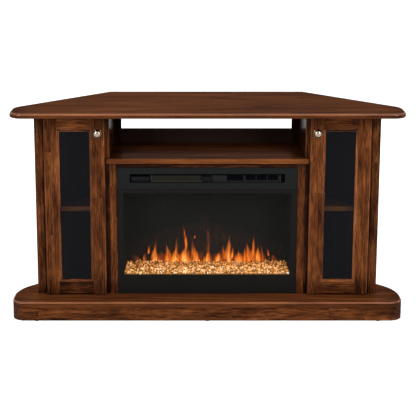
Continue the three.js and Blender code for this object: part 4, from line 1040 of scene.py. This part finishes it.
# %% [markdown]
# ## Loose chips
# A chip is a small broken solid with flat, sharp faces. The convex hull of a few chance points
# has just such faces, and only about a dozen, so many chips stay cheap. A physics run would take
# long and hardly differ, so each lies at a chance place on the slope, sunk a little. Broken glass
# is smooth and bright where a facet sends light on, so every face gets a painted glint of its
# own, and the chips get painted shade towards the back of the bed.

# %% Colour the chips
# The chips are no lamp: their emission is a painted glow that stands in for the amber lamps below
# the bed.
chip_glass, chip_tree, chip_shader = new_material("crushed_amber_glass", **{
    "Roughness": 0.18,
    "IOR": 1.5,
    "Specular IOR Level": 0.5,
    "Emission Strength": 0.74,
})
chip_painted_glint = add(chip_tree, "ShaderNodeAttribute", attribute_name="painted_glint")
chip_colour = add(chip_tree, "ShaderNodeValToRGB", {"Fac": chip_painted_glint.outputs["Fac"]}, stops=[
    (0.00, "#4a2206"),
    (0.16, "#a05c1c"),
    (0.34, "#d68c3c"),
    (0.56, "#f2c07c"),
    (0.80, "#fff0d4"),
])
feed(chip_shader, {"Base Color": chip_colour, "Emission Color": chip_colour})
print("chip glow:", chip_shader.inputs["Emission Strength"].default_value)

# %% Scatter the chips
CHIP_COUNT, CHIP_POINTS = 1400, 8
CHIP_MM = (7, 14)
CHIP_SHAPE = ((0.8, 1.4), (0.7, 1.0), (0.5, 0.8))  # length, width, thickness against the size
BED_INSET_MM, CHIP_SINK_MM = 4, 2.0
BACK_CROWDING = 0.9  # below 1, more chips lie towards the back
WALL_GROWTH = 0.6  # the bed narrows towards the back
FRONT_SHARE = 0.10  # of the chips lie against the glass in front
# Painted shade towards the back, and the share of a chip's own tone in its faces' painted glints.
BACK_PAINTED_SHADE, CHIP_TONE_SHARE = 0.70, 0.55
CHIP_SEED = 7
chance = random.Random(CHIP_SEED)
bm = bmesh.new()
painted_glint = bm.faces.layers.float.new("painted_glint")
inset = BED_INSET_MM * MM
for number in range(CHIP_COUNT):
    slope = chance.random() ** BACK_CROWDING
    y = bed_low.y + inset + slope * (bed_high.y - bed_low.y - 2 * inset)
    wall = inset * (1 + WALL_GROWTH * slope)
    x = chance.uniform(bed_low.x + wall, bed_high.x - wall)
    z = bed_front_top + slope * (bed_high.z - bed_front_top) - CHIP_SINK_MM * MM
    if chance.random() < FRONT_SHARE:
        y = bed_low.y + inset
        z = chance.uniform(bed_low.z + inset, bed_front_top)
    size = chance.uniform(*CHIP_MM) * MM / 2
    shape = Vector([chance.uniform(*span) for span in CHIP_SHAPE])
    turn = Matrix.Rotation(chance.uniform(0, math.tau), 3, Vector(
        [chance.uniform(-1, 1) for axis in range(3)]).normalized())
    points = []
    for corner in range(CHIP_POINTS):
        away = Vector([chance.gauss(0, 1) for axis in range(3)]).normalized()
        spread = turn @ Vector([away[axis] * shape[axis] * size for axis in range(3)])
        points.append(bm.verts.new(spread + Vector((x, y, z))))
    hull = bmesh.ops.convex_hull(bm, input=points)
    # A chip's own tone, with painted shade towards the back; each face adds its painted glint.
    chip_tone_and_shade = chance.random() - BACK_PAINTED_SHADE * slope
    for face in hull["geom"]:
        if isinstance(face, bmesh.types.BMFace):
            face[painted_glint] = CHIP_TONE_SHARE * chip_tone_and_shade + (1 - CHIP_TONE_SHARE) * chance.random()
bmesh.ops.recalc_face_normals(bm, faces=bm.faces)
chips = to_object(bm, "glass_chips", chip_glass, "cabinet", "amber_glass", smooth=False)
print("chip faces:", len(chips.data.polygons))

# %% [markdown]
# ## Flame
# The flame is light thrown on the screen behind the bed, so it has no body, only brightness. A
# volume would be slow and is lost in an exported model. So each tongue is a flat sheet that gives
# light, and a noise drawn out upwards breaks it into licks. Two numbers on its points say how
# warm it is and how well it covers the screen.

# %% Mix the flame's light
LICK_WIDTH_MM, LICK_HEIGHT_MM = 7, 46
LICK_WARMTH = 0.55
LICK_FROM, LICK_TO, LICK_LEAST = 0.30, 0.62, 0.45
flame_light, flame_tree, flame_shader = new_material("projected_flame", **{
    "Base Color": linear("#000000"),
    "Roughness": 1.0,
    "Specular IOR Level": 0.0,
    "Emission Strength": 2.1,
})
lick_place = add(flame_tree, "ShaderNodeVectorMath", [
    add(flame_tree, "ShaderNodeTexCoord").outputs["Object"],
    (1 / (LICK_WIDTH_MM * MM), 0.0, 1 / (LICK_HEIGHT_MM * MM)),
], operation="MULTIPLY")
licks = add(flame_tree, "ShaderNodeTexNoise", {
    "Vector": lick_place,
    "Scale": 1.0,
    "Detail": 2.0,
    "Distortion": 0.6,
})
flame_warmth = add(flame_tree, "ShaderNodeAttribute", attribute_name="warmth")
flame_cover = add(flame_tree, "ShaderNodeAttribute", attribute_name="cover")
lick_warmth = add(flame_tree, "ShaderNodeMath", [licks, 0.5], operation="SUBTRACT")
warmth_here = add(flame_tree, "ShaderNodeMath", [
    lick_warmth,
    LICK_WARMTH,
    flame_warmth.outputs["Fac"],
], operation="MULTIPLY_ADD")
flame_colour = add(flame_tree, "ShaderNodeValToRGB", {"Fac": warmth_here}, stops=[
    (0.00, "#30241f"),
    (0.14, "#4a2c1b"),
    (0.28, "#943f0d"),
    (0.46, "#e66c17"),
    (0.70, "#ff8f30"),
    (0.94, "#ffc877"),
])
lick_cover = add(flame_tree, "ShaderNodeMapRange", {
    "Value": licks,
    "From Min": LICK_FROM,
    "From Max": LICK_TO,
    "To Min": LICK_LEAST,
    "To Max": 1.0,
})
cover = add(flame_tree, "ShaderNodeMath", [
    lick_cover,
    flame_cover.outputs["Fac"],
], operation="MULTIPLY", use_clamp=True)
feed(flame_shader, {"Emission Color": flame_colour, "Alpha": cover})
print("flame nodes:", len(flame_tree.nodes))

# %% [markdown]
# ## Tongues
# Each tongue starts as a small grid, whose rows are drawn in towards the tip, bent to one side
# and swayed. The first few are wide and faint, a haze round the others. The tongues stand a few
# millimetres before the screen, one before another, so that no two share a plane.

# %% List the tongues
FLAMES = [
    # (foot x, foot z, height, width, lean, all in mm, warmth)
    (-10, 140, 190, 520, 0, 0.04),
    (-160, 146, 50, 130, 0, 0.34),
    (-60, 146, 62, 150, 0, 0.42),
    (60, 146, 56, 120, 0, 0.38),
    (158, 146, 62, 130, 0, 0.42),
    (-226, 157, 34, 18, 2, 0.40),
    (-212, 184, 38, 9, 4, 0.62),
    (-186, 178, 76, 11, 2, 0.42),
    (-188, 147, 64, 28, -4, 0.90),
    (-141, 150, 74, 26, -4, 0.66),
    (-110, 176, 84, 12, 2, 0.42),
    (-114, 147, 60, 38, 0, 0.88),
    (-75, 200, 98, 11, -13, 0.56),
    (-79, 147, 72, 36, 2, 0.88),
    (-44, 243, 17, 4, 2, 0.62),
    (-50, 180, 62, 15, -3, 0.40),
    (-35, 147, 68, 26, -14, 0.86),
    (4, 172, 140, 13, 0, 0.36),
    (4, 147, 52, 32, 2, 0.84),
    (41, 149, 46, 22, 3, 0.86),
    (62, 160, 66, 12, -4, 0.46),
    (80, 147, 104, 26, 0, 0.90),
    (92, 168, 50, 10, 4, 0.62),
    (118, 149, 50, 44, -3, 0.70),
    (143, 152, 60, 14, -8, 0.60),
    (151, 149, 84, 20, -5, 0.70),
    (169, 156, 104, 14, 2, 0.62),
    (187, 149, 68, 24, -4, 0.90),
    (202, 158, 64, 12, -5, 0.44),
    (224, 178, 32, 8, -4, 0.62),
    (245, 158, 30, 30, -12, 0.30),
    (-254, 158, 30, 30, -14, 0.26),
]
print("tongues:", len(FLAMES))

# %% Raise the tongues
TONGUE_COLUMNS, TONGUE_ROWS = 8, 18
FLAME_WIDEN, FLAME_RISE = 1.35, 1.08
SCREEN_GAP_MM, LAYER_STEP_MM = 4, 0.35
SWAY_SHARE, SWAY_STEP, SWAY_BENDS = 0.10, 2.3, 5
LEAN_CURVE = 1.6  # above 1, a tongue leans more towards its tip
FOOT_SWELL, SWELL_LOW, SWELL_FULL = 0.18, 0.8, 0.7  # the widest place lies low
NARROWEST = 0.06
RIM_CURVE, RIM_WARMTH, TIP_COOLING = 1.8, 0.25, 0.5
WARMTH_FALL, COVER_FALL = 1.5, 1.4
TIP_FADE, FOOT_FADE, FOOT_COVER = 0.7, 0.16, 0.35
FAINT_COVER, COVER_GAIN = 0.35, 1.2
screen_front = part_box("flame_screen")[0].y
bm = bmesh.new()
for mark in ("warmth", "cover"):
    bm.verts.layers.float.new(mark)
# Handles are taken after both layers exist, because adding one spoils the handles before it.
warmth_of, cover_of = (bm.verts.layers.float[mark] for mark in ("warmth", "cover"))
for number, (foot_x, foot_z, height, width, lean, warmth) in enumerate(FLAMES):
    sheet = bmesh.ops.create_grid(bm, x_segments=TONGUE_COLUMNS, y_segments=TONGUE_ROWS, size=0.5)
    sway = SWAY_SHARE * width * math.sin(SWAY_STEP * number)
    depth = SCREEN_GAP_MM + number * LAYER_STEP_MM
    for vertex in sheet["verts"]:
        across, along = 2 * vertex.co.x, vertex.co.y + 0.5
        swell = math.sin(math.pi * min(1, (FOOT_SWELL + along) ** SWELL_LOW)) ** SWELL_FULL
        middle = foot_x + lean * along ** LEAN_CURVE + sway * math.sin(SWAY_BENDS * along)
        vertex.co = Vector((
            middle + across * FLAME_WIDEN * width / 2 * max(NARROWEST, swell),
            screen_front / MM - depth,
            foot_z + FLAME_RISE * height * along,
        )) * MM
        rim = max(0.0, 1 - abs(across) ** RIM_CURVE)
        tip = max(0.0, 1 - along) ** TIP_FADE
        foot = FOOT_COVER + (1 - FOOT_COVER) * min(1.0, along / FOOT_FADE)
        vertex[warmth_of] = (warmth * (RIM_WARMTH + (1 - RIM_WARMTH) * rim ** WARMTH_FALL)
                             * (1 - TIP_COOLING * along))
        vertex[cover_of] = (rim ** COVER_FALL * tip * foot
                            * min(1, FAINT_COVER + COVER_GAIN * warmth))
flame = to_object(bm, "flame_tongues", flame_light, "cabinet", "smoke_screen", smooth=True)
print("flame faces:", len(flame.data.polygons))
